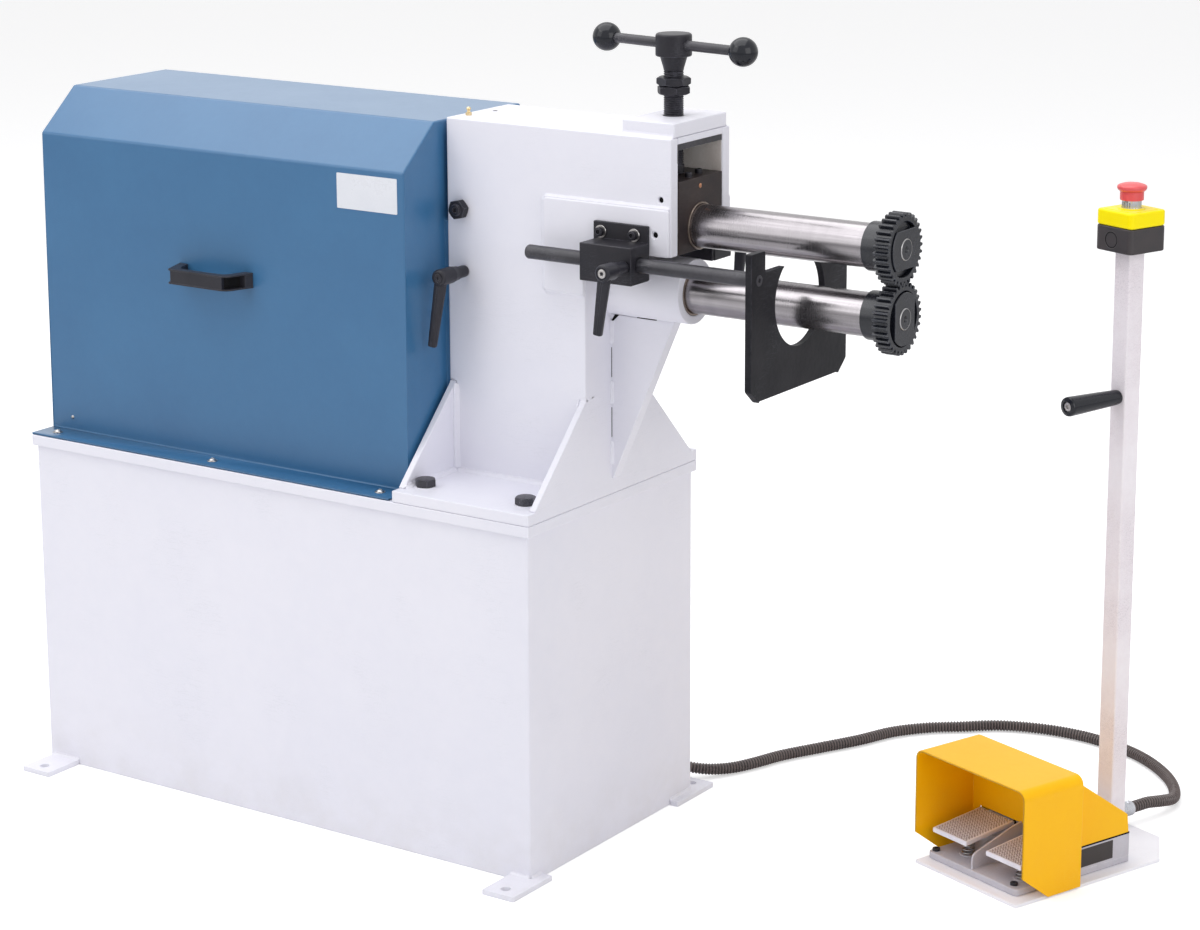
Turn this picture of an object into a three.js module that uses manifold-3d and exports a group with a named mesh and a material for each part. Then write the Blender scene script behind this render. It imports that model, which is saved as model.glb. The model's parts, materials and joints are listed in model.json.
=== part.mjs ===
// A motorised swaging and beading machine on its cabinet, with its foot pedal and
// emergency stop stand. Millimetres, +Z up. The origin is the middle of the cabinet's
// footprint on the floor. +X runs along the machine to the rolls and +Y to its back.
import * as THREE from 'three';
import * as BufferGeometryUtils from 'three/addons/utils/BufferGeometryUtils.js';
import Module from 'manifold-3d';

const wasm = await Module();
wasm.setup();

// Fits shared by the whole machine.
const gap = 0.3; // between pieces that touch, or that turn in one another
const slideGap = 1.5; // each side of a block that slides between the cheeks
const overrun = 2; // how far a cut runs past the face that it leaves by
const sink = 1; // how deep welded or cast-on material goes into what carries it
const fine = 26; // facets round a turned piece that shows
const plain = 16; // facets round a small or hidden one

// The cabinet, its top plate and its feet.
const cabinet = { length: 920, depth: 421, height: 505.6, wall: 3 };
const deck = { thick: 16.5, overhang: 5.5 };
const foot = {
  thick: 8, wide: 54, hole: 7, holeInset: 20, leftInset: 6,
  frontReach: 68.5, frontSide: 19, frontReturn: 26.5,
  backReach: 40.5, backSide: 15, backReturn: 60.5,
};

// The welded column: base plate, two cheeks, two side plates with gussets, top plate.
const base = { length: 235.5, thick: 16.3, bolt: 10, boltPlay: 1, boltInset: 19, boltPitch: 171, boltY: 161 };
const column = { height: 512, halfDepth: 75, cheek: 18, side: 10, top: 18 };
const gusset = { foot: 199, head: 80, height: 129 };
const head = { reach: 140.5, floor: 60 };
const pad = { proud: 5, length: 207, rise: 66, drop: 67.3, margin: 1 };
const tapped = { radius: 4, depth: 10, upperX: 17, upperZ: 78, lowerX: 23, lowerZ: 30 };
const bridge = { length: 84.5, halfDepth: 67, thick: 20 };
const rib = { thick: 20, run: 105.5, foot: 6, lap: 2 };

// The two shafts and what turns on them.
const lowerRise = 290; // from the base plate's top to the lower shaft
const spacing = 93.5; // between the shafts with the rolls closed
const shaft = { radius: 30, overhang: 283, journal: 17, seat: 20, thread: 14.2, centre: 4, centreDepth: 6 };
const tube = { radius: 45.75, reach: 133.5, fromGear: 20, land: 60, relief: 36 };
const gear = { teeth: 18, left: 65, width: 30, addendumShare: 1, dedendumShare: 1.25, backlash: 0.5 };
const roll = {
  teeth: 30, standoff: 253, collar: 35, collarLength: 42, width: 22,
  addendumShare: 0.8, dedendumShare: 1.05, backlash: 0.5, recess: 37.5, recessDepth: 10,
};
const rollNut = { radius: 36, flats: 53, proud: 2, flatDepth: 8, flange: 28 };
const pressureAngle = THREE.MathUtils.degToRad(20);
const flankSteps = 1;

// The tilting mount of the upper shaft.
const pivot = { inset: 24, pin: 6, pinDepth: 16, shank: 8, hexCorners: 28, hexThick: 15 };
const pivotBlock = { left: 10.5, length: 43.5, halfHeight: 32 };
const bearing = { length: 77.5, height: 101 };

// The gear motor, flanged to the column's left plate, and its coupling.
const motor = {
  flange: 70, flangeThick: 12, box: 62, boxLength: 158, body: 55, bodyLength: 250, cowl: 57, cowlLength: 50,
  terminalLength: 90, terminalDepth: 80, terminalHeight: 42, terminalOffset: 70, bore: 60,
};
const coupling = { radius: 33, left: 20, length: 41, stub: 14, stubLength: 62, well: 20 };
const motorHole = 45;

// The adjusting screw, its foot, its nuts and its cross handle.
const screw = { fromFront: 44, radius: 13.85, nose: 7, noseLength: 8, top: 61, spigot: 8, spigotLength: 18 };
const screwFoot = { radius: 15, crown: 60, thick: 13, play: 0.3, seatDepth: 7 };
const nuts = { acrossFlats: 41, thick: 12, rise: 29, lowerTurn: 12, upperTurn: 34 };
const hub = { radius: 25, height: 31, neckTop: 19, neckBottom: 13.8, neckHeight: 20, rim: 2 };
const bar = { radius: 7, reach: 119, rise: 16, turn: -9.6 };
const knob = { radius: 20, reach: 125, boreDepth: 15 };

// The fence, its rods, their clamp blocks and the clamp levers.
const rodY = 107.5;
const rodRise = 52.5; // from the lower shaft to the rods
const rodSize = { radius: 10, length: 361.7, tail: 72.5 };
const block = { left: 27, length: 84, front: 128.5, below: 25.8, above: 26.5 };
const blockPlate = { left: 21.5, length: 88, thick: 5.7, above: 49.5 };
const fence = {
  thick: 10, half: 127, tabInner: 91.5, top: 90, shelf: 61, cutRise: 11, cut: 65.5,
  bottom: 115, chamferRun: 22, chamferRise: 19,
};
const lever = {
  neck: 8.5, hub: 12, cap: 9, hubShare: 0.45, capThick: 3, stub: 6, armThick: 11, armTop: 9.5, armEnd: 6,
};
const rodLever = { fromRight: 10.5, hubLength: 55.2, arm: 87, lean: -5, stubLength: 10 };
const columnLever = { inset: 30, rise: 5, hubLength: 64.7, arm: 103, lean: -10, stubLength: 16 };

// The drive cover and its bridge handle.
const cover = {
  toColumn: 7.4, wall: 3, front: 166.5, back: 116, shoulder: 460.3, height: 523.9, chamferRun: 73.5,
  flange: 47.5, notchMargin: 10,
};
const grab = {
  centre: 347.5, rise: 278, height: 22.5, feet: 141, bar: 110, proud: 45, thick: 12.5, foot: 16,
};

// The stand for the pedals and the emergency stop. It lies turned on the floor: u runs
// along its front edge and w to its back.
const stand = { x: 1067, y: 85.3, turn: -20 };
const floorPlate = { wide: 207, deep: 343, thick: 5, cornerWide: 60, cornerDeep: 62 };
const pole = { u: -131.6, w: 314.7, side: 30, wall: 2, height: 861 };
const grip = { radius: 12, waist: 10.5, length: 100, rise: 650, spindle: 4, head: 7, headThick: 5, headWell: 8 };
const stop = {
  side: 70, boxHeight: 35.7, lidHeight: 22.7, wall: 3, collar: 14, collarHeight: 12,
  stem: 10, stemDepth: 36, skirt: 16.7, skirtHeight: 12.6, skirtWell: 5, button: 21, buttonHeight: 12, crown: 5,
};
const pedalUnit = { left: -203, right: -20, front: 20, back: 240, plate: 10, block: 44.4, blockFront: 132 };
const fin = { thick: 3, u: -113.5, front: 52, low: 38, high: 62 };
const ear = { inner: 23, outer: 30, front: 133, back: 149, rise: 15 };
const pedal = {
  leftU: -165, rightU: -62.5, wide: 70, front: 27, back: 119.5, frontTop: 47, backTop: 58.2, thick: 8,
  tongue: 44, tongueBack: 148, pin: 3, pinW: 141, pinZ: 57, tongueThick: 7,
};
const spring = { w: 58, radius: 8, wire: 1, curls: 5, steps: 8, sides: 5, height: 25.2 };
const guard = {
  left: -217, right: 5, front: 8, back: 120, bottom: 5, top: 168, wall: 3, corner: 14,
  mouth: 75, cutTop: 36, cutBack: 57, cornerSteps: 5,
};
const hood = { left: -200, right: -20, back: 238, top: 145, kneeW: 235, kneeZ: 77, wall: 3 };

// The ribbed hose and its two glands.
const hose = { ridge: 9.5, groove: 8.2, bore: 7, ribs: 154, sides: 8, boreEvery: 5 };
const gland = { hex: 28, hexThick: 9, body: 11, reach: 26, bore: 5, shank: 7.7, shankLength: 8, rise: 24 };
const elbow = { x: 322, wide: 24, deep: 41, high: 26, outletW: 29, outlet: 8, rise: 30, boreDepth: 16 };
// The route over the floor, past the straight ends, from the stand to the cabinet.
const route = [
  [1087, 526, 19.5], [1090, 560, 13], [1075, 601, 9.6], [1048, 641, 9.6], [1004, 683.5, 9.6], [956, 714, 9.6],
  [899, 734, 9.6], [850, 741, 9.6], [788, 735.5, 9.6], [724, 712, 9.6], [677, 674, 9.6], [637, 642, 9.6],
  [599, 595, 9.6], [571, 530, 9.6], [537, 466, 9.6], [504, 403, 9.6], [485, 350, 9.6], [468, 314, 9.8],
  [446, 281, 13.5], [420, 257, 20.5], [394, 243.5, 27],
];

// Places worked out from the sizes above.
const halfLength = cabinet.length / 2;
const halfWidth = cabinet.depth / 2;
const deckBottom = cabinet.height + gap;
const deckTop = deckBottom + deck.thick;
const deckHalfLength = halfLength + deck.overhang;
const deckHalfDepth = halfWidth + deck.overhang;
const baseTop = deckTop + gap + base.thick;
const columnBottom = baseTop + gap;
const columnTop = baseTop + column.height;
const columnRight = deckHalfLength;
const columnLeft = columnRight - base.length;
const headRight = columnRight + head.reach;
const lowerZ = baseTop + lowerRise;
const upperZ = lowerZ + spacing;
const throatZ = lowerZ + head.floor;
const cheekInner = column.halfDepth - column.cheek;
const padFace = column.halfDepth + pad.proud;
const blockHalf = cheekInner - slideGap;
const pivotX = columnLeft + pivot.inset;
const screwX = headRight - screw.fromFront;
const bridgeTop = columnTop + gap + bridge.thick;
const rollLeft = headRight + roll.standoff;
const rollFace = rollLeft + roll.collarLength + roll.width;
const rodZ = lowerZ + rodRise;
const rodLeft = columnRight - rodSize.tail;
const fenceLeft = rodLeft + rodSize.length + gap;
const bearingTop = throatZ + gap + bearing.height;
const pitchRadius = spacing / 2;

// Turns a three.js geometry into a solid that can be joined and cut.
function solid(geometry) {
  const bare = geometry.clone();
  bare.deleteAttribute('normal');
  bare.deleteAttribute('uv');
  const merged = BufferGeometryUtils.mergeVertices(bare);
  const index = merged.index.array;
  const triangles = [];
  for (let i = 0; i < index.length; i += 3) {
    const [a, b, c] = [index[i], index[i + 1], index[i + 2]];
    if (a !== b && b !== c && c !== a) triangles.push(a, b, c);
  }
  const points = merged.attributes.position;
  const at = (i) => new THREE.Vector3().fromBufferAttribute(points, i);
  let volume = 0;
  for (let i = 0; i < triangles.length; i += 3) {
    volume += at(triangles[i]).dot(at(triangles[i + 1]).cross(at(triangles[i + 2])));
  }
  if (volume < 0) triangles.reverse();
  return new wasm.Manifold(new wasm.Mesh({
    numProp: 3,
    vertProperties: new Float32Array(points.array),
    triVerts: new Uint32Array(triangles),
  }));
}

const join = (first, ...rest) => rest.reduce((whole, piece) => whole.add(piece), first);
const cut = (first, ...rest) => rest.reduce((whole, piece) => whole.subtract(piece), first);

// Carries a geometry built on the XY plane and along Z onto the named axis.
function onAxis(axis, geometry) {
  const [x, y, z] = [[1, 0, 0], [0, 1, 0], [0, 0, 1]].map((v) => new THREE.Vector3(...v));
  const bases = { x: [y, z, x], y: [x, z, y.clone().negate()], z: [x, y, z] };
  return geometry.applyMatrix4(new THREE.Matrix4().makeBasis(...bases[axis]));
}

// A box between pairs of coordinates.
function slab([x0, x1], [y0, y1], [z0, z1]) {
  const geometry = new THREE.BoxGeometry(x1 - x0, y1 - y0, z1 - z0);
  return solid(geometry.translate((x0 + x1) / 2, (y0 + y1) / 2, (z0 + z1) / 2));
}

// An outline extruded along an axis. It is drawn in (y, z), (x, z) or (x, y).
function prism(axis, outline, from, to, holes = []) {
  const shape = outline instanceof THREE.Shape
    ? outline : new THREE.Shape(outline.map((p) => new THREE.Vector2(...p)));
  for (const hole of holes) shape.holes.push(new THREE.Path(hole.map((p) => new THREE.Vector2(...p))));
  const geometry = new THREE.ExtrudeGeometry(shape, { depth: to - from, bevelEnabled: false, curveSegments: plain });
  if (axis === 'y') return solid(onAxis(axis, geometry.translate(0, 0, -to)));
  return solid(onAxis(axis, geometry.translate(0, 0, from)));
}

// A turned piece. Its profile is a list of [radius, place along the axis], closed by
// the axis or, for a hollow one, on itself. centre holds the other two coordinates.
function turned(axis, profile, [a, b] = [0, 0], facets = fine) {
  const hollow = profile.every(([radius]) => radius > 0);
  const points = profile.map(([radius, along]) => new THREE.Vector2(radius, along));
  if (hollow) points.push(points[0].clone());
  const lathe = new THREE.LatheGeometry(points, facets);
  lathe.rotateX(Math.PI / 2);
  if (axis === 'y') lathe.scale(1, 1, -1);
  lathe.translate(a, b, 0);
  return solid(onAxis(axis, lathe));
}

// The corner radius of a faceted bore whose flats clear a round piece of this radius.
const clear = (radius, facets = plain) => (radius + gap) / Math.cos(Math.PI / facets);

const pin = (axis, from, to, radius, centre, facets = plain) => (
  turned(axis, [[0, from], [radius, from], [radius, to], [0, to]], centre, facets));

// A regular hexagon by its width across corners, turned by an angle in degrees.
function hexagon(corners, [a, b], turn = 0) {
  return Array.from({ length: 6 }, (_, i) => {
    const angle = THREE.MathUtils.degToRad(turn) + (i * Math.PI) / 3;
    return [a + (corners / 2) * Math.cos(angle), b + (corners / 2) * Math.sin(angle)];
  });
}

// An outline drawn in by a distance, with its corners mitred. It runs anticlockwise.
function inset(outline, distance) {
  const count = outline.length;
  const normal = ([x0, y0], [x1, y1]) => new THREE.Vector2(y0 - y1, x1 - x0).normalize();
  return outline.map((point, i) => {
    const before = normal(outline[(i + count - 1) % count], point);
    const after = normal(point, outline[(i + 1) % count]);
    const move = before.clone().add(after).multiplyScalar(distance / (1 + before.dot(after)));
    return [point[0] + move.x, point[1] + move.y];
  });
}

// The outline of a spur gear with involute flanks, centred on the axis.
function gearOutline({ teeth, addendumShare, dedendumShare, backlash }, phase) {
  const module = (2 * pitchRadius) / teeth;
  const [tip, root] = [pitchRadius + module * addendumShare, pitchRadius - module * dedendumShare];
  const ground = pitchRadius * Math.cos(pressureAngle);
  const involute = (radius) => {
    const angle = Math.acos(Math.min(1, ground / radius));
    return Math.tan(angle) - angle;
  };
  const halfAtPitch = Math.PI / (2 * teeth) - backlash / (2 * pitchRadius);
  const half = (radius) => halfAtPitch + involute(pitchRadius) - involute(Math.max(radius, ground));
  const start = Math.max(root, ground);
  const radii = Array.from({ length: flankSteps + 1 }, (_, i) => start + ((tip - start) * i) / flankSteps);
  if (root < ground) radii.unshift(root);
  const flank = radii.map((radius) => [radius, half(radius)]);
  const tooth = [...flank.map(([r, a]) => [r, -a]), ...flank.reverse()];
  return Array.from({ length: teeth }, (_, i) => tooth.map(([radius, angle]) => {
    const turn = phase + angle + (2 * Math.PI * i) / teeth;
    return [radius * Math.cos(turn), radius * Math.sin(turn)];
  })).flat();
}

// Finishes, as photographed. Each call gives a mesh its own material.
const finish = {
  paint: () => new THREE.MeshStandardMaterial({ color: 0xe1e1ea, roughness: 0.45, metalness: 0 }),
  cover: () => new THREE.MeshStandardMaterial({ color: 0x557da5, roughness: 0.55, metalness: 0 }),
  black: () => new THREE.MeshStandardMaterial({ color: 0x2a2a2d, roughness: 0.5, metalness: 0.5 }),
  plastic: () => new THREE.MeshStandardMaterial({ color: 0x2b2b30, roughness: 0.55, metalness: 0 }),
  ground: () => new THREE.MeshStandardMaterial({ color: 0xb9b6b3, roughness: 0.28, metalness: 1 }),
  steel: () => new THREE.MeshStandardMaterial({ color: 0x8f8f90, roughness: 0.4, metalness: 1 }),
  motor: () => new THREE.MeshStandardMaterial({ color: 0x5f6a72, roughness: 0.5, metalness: 0.3 }),
  yellow: () => new THREE.MeshStandardMaterial({ color: 0xf9bd22, roughness: 0.45, metalness: 0 }),
  grey: () => new THREE.MeshStandardMaterial({ color: 0x97949a, roughness: 0.5, metalness: 0.5 }),
  red: () => new THREE.MeshStandardMaterial({ color: 0xc8453f, roughness: 0.4, metalness: 0 }),
  nickel: () => new THREE.MeshStandardMaterial({ color: 0xb5b2ab, roughness: 0.3, metalness: 1 }),
};

const machine = new THREE.Group();

// Adds one named piece, made from a joined and cut solid, to a group.
function add(name, shape, material, parent = machine) {
  const { vertProperties, triVerts } = shape.getMesh();
  const geometry = new THREE.BufferGeometry();
  geometry.setAttribute('position', new THREE.BufferAttribute(vertProperties, 3));
  geometry.setIndex(new THREE.BufferAttribute(triVerts, 1));
  geometry.computeVertexNormals();
  const mesh = new THREE.Mesh(geometry, material);
  mesh.name = name;
  parent.add(mesh);
}

// A group placed on the machine.
function place(x, y, z, turn = 0) {
  const group = new THREE.Group();
  group.position.set(x, y, z);
  group.rotation.z = THREE.MathUtils.degToRad(turn);
  machine.add(group);
  group.updateMatrixWorld(true);
  return group;
}

// The folded cabinet, open under its top plate, with the hole for the elbow gland.
function buildCabinet() {
  const inside = [-halfWidth + cabinet.wall, halfWidth - cabinet.wall];
  const shell = cut(
    slab([-halfLength, halfLength], [-halfWidth, halfWidth], [0, cabinet.height]),
    slab([-halfLength + cabinet.wall, halfLength - cabinet.wall], inside, [cabinet.wall, cabinet.height + overrun]),
    pin('y', halfWidth - cabinet.wall - overrun, halfWidth + overrun, clear(gland.shank),
      [elbow.x - elbow.wide / 2, elbow.rise]),
  );
  add('cabinet_shell', shell, finish.paint());

  const holes = boltPlaces().map(([x, y]) => (
    pin('z', deckBottom - overrun, deckTop + overrun, base.bolt + base.boltPlay, [x, y])));
  const plate = slab([-deckHalfLength, deckHalfLength], [-deckHalfDepth, deckHalfDepth], [deckBottom, deckTop]);
  add('cabinet_top_plate', cut(plate, ...holes), finish.paint());
}

// The four base bolts of the column.
function boltPlaces() {
  const [left, right] = [columnLeft + base.boltInset, columnLeft + base.boltInset + base.boltPitch];
  return [[left, -base.boltY], [right, -base.boltY], [left, base.boltY], [right, base.boltY]];
}

// Plates welded to the cabinet's foot. The right-hand pair go round its corners.
function buildFeet() {
  const footprint = slab([-halfLength - gap, halfLength + gap], [-halfWidth - gap, halfWidth + gap],
    [-overrun, foot.thick + overrun]);
  const plate = (name, left, [near, far], holeY) => {
    const whole = slab([left, left + foot.wide], [near, far], [0, foot.thick]);
    const hole = pin('z', -overrun, foot.thick + overrun, foot.hole, [left + foot.wide / 2, holeY]);
    add(name, cut(whole, footprint, hole), finish.paint());
  };
  const [front, back] = [-halfWidth - foot.frontReach, halfWidth + foot.backReach];
  const leftX = -halfLength + foot.leftInset;
  plate('foot_front_left', leftX, [front, -halfWidth], front + foot.holeInset);
  plate('foot_back_left', leftX, [halfWidth, back], back - foot.holeInset);
  plate('foot_front_right', halfLength + foot.frontSide - foot.wide, [front, -halfWidth + foot.frontReturn],
    front + foot.holeInset);
  plate('foot_back_right', halfLength + foot.backSide - foot.wide, [halfWidth - foot.backReturn, back],
    back - foot.holeInset);
}

// The lift-off sheet cover over the drive, open below and, round the motor, to the right.
function buildCover() {
  const [left, right] = [-deckHalfLength, columnLeft - cover.toColumn];
  const bottom = deckTop + gap;
  const [shoulder, top] = [bottom + cover.shoulder, bottom + cover.height];
  const outline = [
    [-cover.front, bottom], [cover.back, bottom], [cover.back, top],
    [-cover.front + cover.chamferRun, top], [-cover.front, shoulder],
  ];
  const inner = inset(outline, cover.wall).map(([y, z], i) => (i < 2 ? [y, bottom - overrun] : [y, z]));
  const notch = motor.flange + cover.notchMargin;
  const shell = cut(
    prism('x', outline, left, right),
    prism('x', inner, left + cover.wall, right - cover.wall),
    slab([right - cover.wall - overrun, right + overrun], [-notch, notch], [bottom - overrun, lowerZ + notch]),
  );
  const flange = (near, far) => slab([left, right], [near, far], [bottom, bottom + cover.wall]);
  add('drive_cover', join(
    shell,
    flange(-cover.front - cover.flange, -cover.front + cover.wall),
    flange(cover.back - cover.wall, cover.back + cover.flange),
  ), finish.cover());

  const centre = right - grab.centre;
  const face = -cover.front - gap;
  const z = deckTop + grab.rise;
  const slope = (grab.feet - grab.bar) / 2 / grab.proud;
  const innerHalf = grab.feet / 2 - grab.foot;
  const side = (sign) => [
    [centre + sign * (grab.feet / 2), face],
    [centre + sign * (grab.bar / 2), face - grab.proud],
  ];
  const well = (sign) => [
    [centre + sign * (innerHalf - slope * (grab.proud - grab.thick)), face - grab.proud + grab.thick],
    [centre + sign * innerHalf, face],
  ];
  const [rightSide, leftSide] = [side(1), side(-1).reverse()];
  const outlineOfGrab = [...rightSide, ...leftSide, ...well(-1).reverse(), ...well(1)];
  add('cover_handle', prism('z', outlineOfGrab, z - grab.height / 2, z + grab.height / 2), finish.plastic());
}

// The column's base, side, front, back and top plates.
function buildColumn() {
  const holes = boltPlaces().map(([x, y]) => (
    pin('z', deckTop - overrun, baseTop + overrun, base.bolt + base.boltPlay, [x, y])));
  add('column_base_plate', cut(slab(
    [columnLeft, columnRight], [-deckHalfDepth, deckHalfDepth], [deckTop + gap, baseTop],
  ), ...holes), finish.paint());

  const side = (top) => {
    const half = [
      [gusset.foot, columnBottom], [gusset.head, baseTop + gusset.height],
      [column.halfDepth, baseTop + gusset.height], [column.halfDepth, top],
    ];
    return [...half, ...half.map(([y, z]) => [-y, z]).reverse()];
  };
  add('column_left_plate', cut(
    prism('x', side(columnTop), columnLeft, columnLeft + column.side),
    pin('x', columnLeft - overrun, columnLeft + column.side + overrun, motorHole, [0, lowerZ]),
  ), finish.paint());

  const ribTop = lowerZ - tube.radius + rib.lap;
  const ribOutline = [
    [columnRight - sink, columnBottom + rib.foot], [columnRight + sink, columnBottom + rib.foot],
    [columnRight + rib.run, ribTop], [columnRight - sink, ribTop],
  ];
  add('column_right_plate', cut(
    join(
      prism('x', side(throatZ - gap), columnRight - column.side, columnRight),
      prism('y', ribOutline, -rib.thick / 2, rib.thick / 2),
    ),
    pin('x', columnRight - column.side - overrun, columnRight + tube.reach, clear(tube.radius, fine), [0, lowerZ], fine),
  ), finish.paint());

  const left = columnLeft + column.side + gap;
  const cheekOutline = [
    [left, columnBottom], [columnRight - column.side - gap, columnBottom],
    [columnRight - column.side - gap, throatZ], [headRight, throatZ], [headRight, columnTop], [left, columnTop],
  ];
  const padRight = headRight - pad.margin;
  const padLeft = padRight - pad.length;
  const padOutline = [
    [padLeft, throatZ - pad.drop], [columnRight, throatZ - pad.drop], [columnRight, throatZ + gap],
    [padRight, throatZ + gap], [padRight, throatZ + pad.rise], [padLeft, throatZ + pad.rise],
  ];
  for (const [name, sign] of [['column_front_plate', -1], ['column_back_plate', 1]]) {
    const span = (a, b) => [Math.min(sign * a, sign * b), Math.max(sign * a, sign * b)];
    const through = span(cheekInner - overrun, padFace + overrun);
    const tap = (x, z) => pin('y', ...span(padFace - tapped.depth, padFace + overrun), tapped.radius,
      [headRight - x, throatZ + z]);
    let cheek = join(
      prism('y', cheekOutline, ...span(cheekInner, column.halfDepth)),
      cut(
        prism('y', padOutline, ...span(column.halfDepth - sink, padFace)),
        slab([columnRight - column.side - gap, columnRight + overrun],
          span(column.halfDepth - overrun, column.halfDepth + gap),
          [throatZ - pad.drop - overrun, throatZ]),
      ),
    );
    cheek = cut(
      cheek,
      pin('y', ...through, clear(pivot.shank), [pivotX, upperZ]),
      tap(tapped.upperX, tapped.upperZ),
      tap(tapped.lowerX, tapped.lowerZ),
    );
    if (sign < 0) {
      cheek = cut(cheek, pin('y', ...through, clear(lever.stub),
        [columnLeft + columnLever.inset, lowerZ + columnLever.rise]));
    }
    add(name, cheek, finish.paint());
  }

  const topHalf = cheekInner - gap;
  const topPlate = join(
    slab([left, headRight], [-topHalf, topHalf], [columnTop - column.top, columnTop]),
    slab([headRight - bridge.length, headRight], [-topHalf, topHalf], [columnTop - sink, columnTop + sink]),
    slab([headRight - bridge.length, headRight], [-bridge.halfDepth, bridge.halfDepth],
      [columnTop + gap, bridgeTop]),
  );
  add('column_top_plate', cut(
    topPlate,
    pin('z', columnTop - column.top - overrun, bridgeTop + overrun, clear(screw.radius, fine), [screwX, 0], fine),
  ), finish.paint());
}

// The lower shaft's long bearing tube, with a bearing land at each end.
function buildBearingTube() {
  const right = columnRight + tube.reach;
  const left = columnLeft + gear.left + gear.width + tube.fromGear;
  const bore = clear(shaft.radius, fine);
  add('lower_bearing_tube', turned('x', [
    [tube.radius, left], [tube.radius, right], [bore, right], [bore, right - tube.land],
    [tube.relief, right - tube.land], [tube.relief, left + tube.land], [bore, left + tube.land], [bore, left],
  ], [0, lowerZ]), finish.paint());
}

// The gear motor hangs by its flange inside the cover. Its hollow output takes the stub
// of the coupling that turns the lower shaft.
function buildDrive() {
  const face = columnLeft - gap;
  const flangeLeft = face - motor.flangeThick;
  const boxLeft = flangeLeft - motor.boxLength;
  const bodyLeft = boxLeft - motor.bodyLength;
  const cowlLeft = bodyLeft - motor.cowlLength;
  const body = turned('x', [
    [0, face], [motor.flange, face], [motor.flange, flangeLeft], [motor.box, flangeLeft], [motor.box, boxLeft],
    [motor.body, boxLeft], [motor.body, bodyLeft], [motor.cowl, bodyLeft], [motor.cowl, cowlLeft], [0, cowlLeft],
  ], [0, lowerZ], plain);
  const terminalRight = boxLeft - motor.terminalOffset;
  const terminal = slab([terminalRight - motor.terminalLength, terminalRight],
    [-motor.terminalDepth / 2, motor.terminalDepth / 2], [lowerZ, lowerZ + motor.body + motor.terminalHeight]);
  const well = pin('x', face - motor.bore, face + overrun, clear(coupling.stub), [0, lowerZ]);
  add('gear_motor', cut(join(body, terminal), well), finish.motor());
}

// Everything on one shaft line, drawn about its own axis. The lower line starts in the
// coupling and the upper one in the tilting pivot block.
function buildShaftLines() {
  const lower = place(0, 0, lowerZ);
  const upper = place(0, 0, upperZ);
  const couplingLeft = columnLeft + coupling.left;
  const couplingRight = couplingLeft + coupling.length;
  const split = couplingRight - coupling.well;
  add('shaft_coupling', turned('x', [
    [0, couplingLeft - coupling.stubLength + coupling.left], [coupling.stub, couplingLeft - coupling.stubLength
      + coupling.left], [coupling.stub, couplingLeft], [coupling.radius, couplingLeft],
    [coupling.radius, couplingRight], [clear(shaft.journal), couplingRight], [clear(shaft.journal), split], [0, split],
  ], [0, 0], plain), finish.steel(), lower);

  const gearLeft = columnLeft + gear.left;
  const gearRight = gearLeft + gear.width;
  const shoulder = gearLeft - gap * 5;
  const seatLeft = rollLeft + roll.collarLength - roll.recessDepth;
  const threadLeft = rollFace - roll.recessDepth - gap;
  const tip = rollFace + rollNut.proud + gap * 3;
  const shaftProfile = (left) => [
    [0, left], [shaft.journal, left], [shaft.journal, shoulder], [shaft.radius, shoulder],
    [shaft.radius, seatLeft], [shaft.seat, seatLeft], [shaft.seat, threadLeft], [shaft.thread, threadLeft],
    [shaft.thread, tip], [shaft.centre, tip], [0, tip - shaft.centreDepth],
  ];
  add('lower_shaft', turned('x', shaftProfile(split + gap)), finish.ground(), lower);
  add('upper_shaft', turned('x', shaftProfile(pivotX - pivotBlock.left + sink)), finish.ground(), upper);

  const nutLeft = rollFace - roll.recessDepth + gap;
  const nutRight = rollFace + rollNut.proud;
  const lines = [['lower', lower, Math.PI / 2, 0], ['upper', upper, Math.PI / 2, 1]];
  for (const [name, line, up, offset] of lines) {
    const phase = (teeth) => up + (offset * Math.PI) / teeth;
    add(`${name}_gear`, cut(
      prism('x', gearOutline(gear, phase(gear.teeth)), gearLeft, gearRight),
      pin('x', gearLeft - overrun, gearRight + overrun, clear(shaft.radius, fine), [0, 0], fine),
    ), finish.steel(), line);

    const toothLeft = rollLeft + roll.collarLength;
    add(`${name}_roll`, cut(
      join(
        prism('x', gearOutline(roll, phase(roll.teeth)), toothLeft, rollFace),
        pin('x', rollLeft, toothLeft + sink, roll.collar, [0, 0], fine),
      ),
      pin('x', rollLeft - overrun, seatLeft + gap, clear(shaft.radius, fine), [0, 0], fine),
      pin('x', rollLeft, rollFace + overrun, clear(shaft.seat, fine), [0, 0], fine),
      pin('x', rollFace - roll.recessDepth, rollFace + overrun, roll.recess, [0, 0], fine),
    ), finish.black(), line);

    const jaw = (sign) => {
      const span = [sign * (rollNut.flats / 2), sign * (rollNut.radius + overrun)].sort((a, b) => a - b);
      const wide = [-rollNut.radius - overrun, rollNut.radius + overrun];
      const along = [nutRight - rollNut.flatDepth, nutRight + overrun];
      return offset ? slab(along, wide, span) : slab(along, span, wide);
    };
    add(`${name}_roll_nut`, cut(
      pin('x', nutLeft, nutRight, rollNut.radius, [0, 0], fine),
      pin('x', nutLeft - overrun, nutRight + overrun, clear(shaft.thread), [0, 0]),
      jaw(1), jaw(-1),
    ), finish.black(), line);
  }
}

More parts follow.
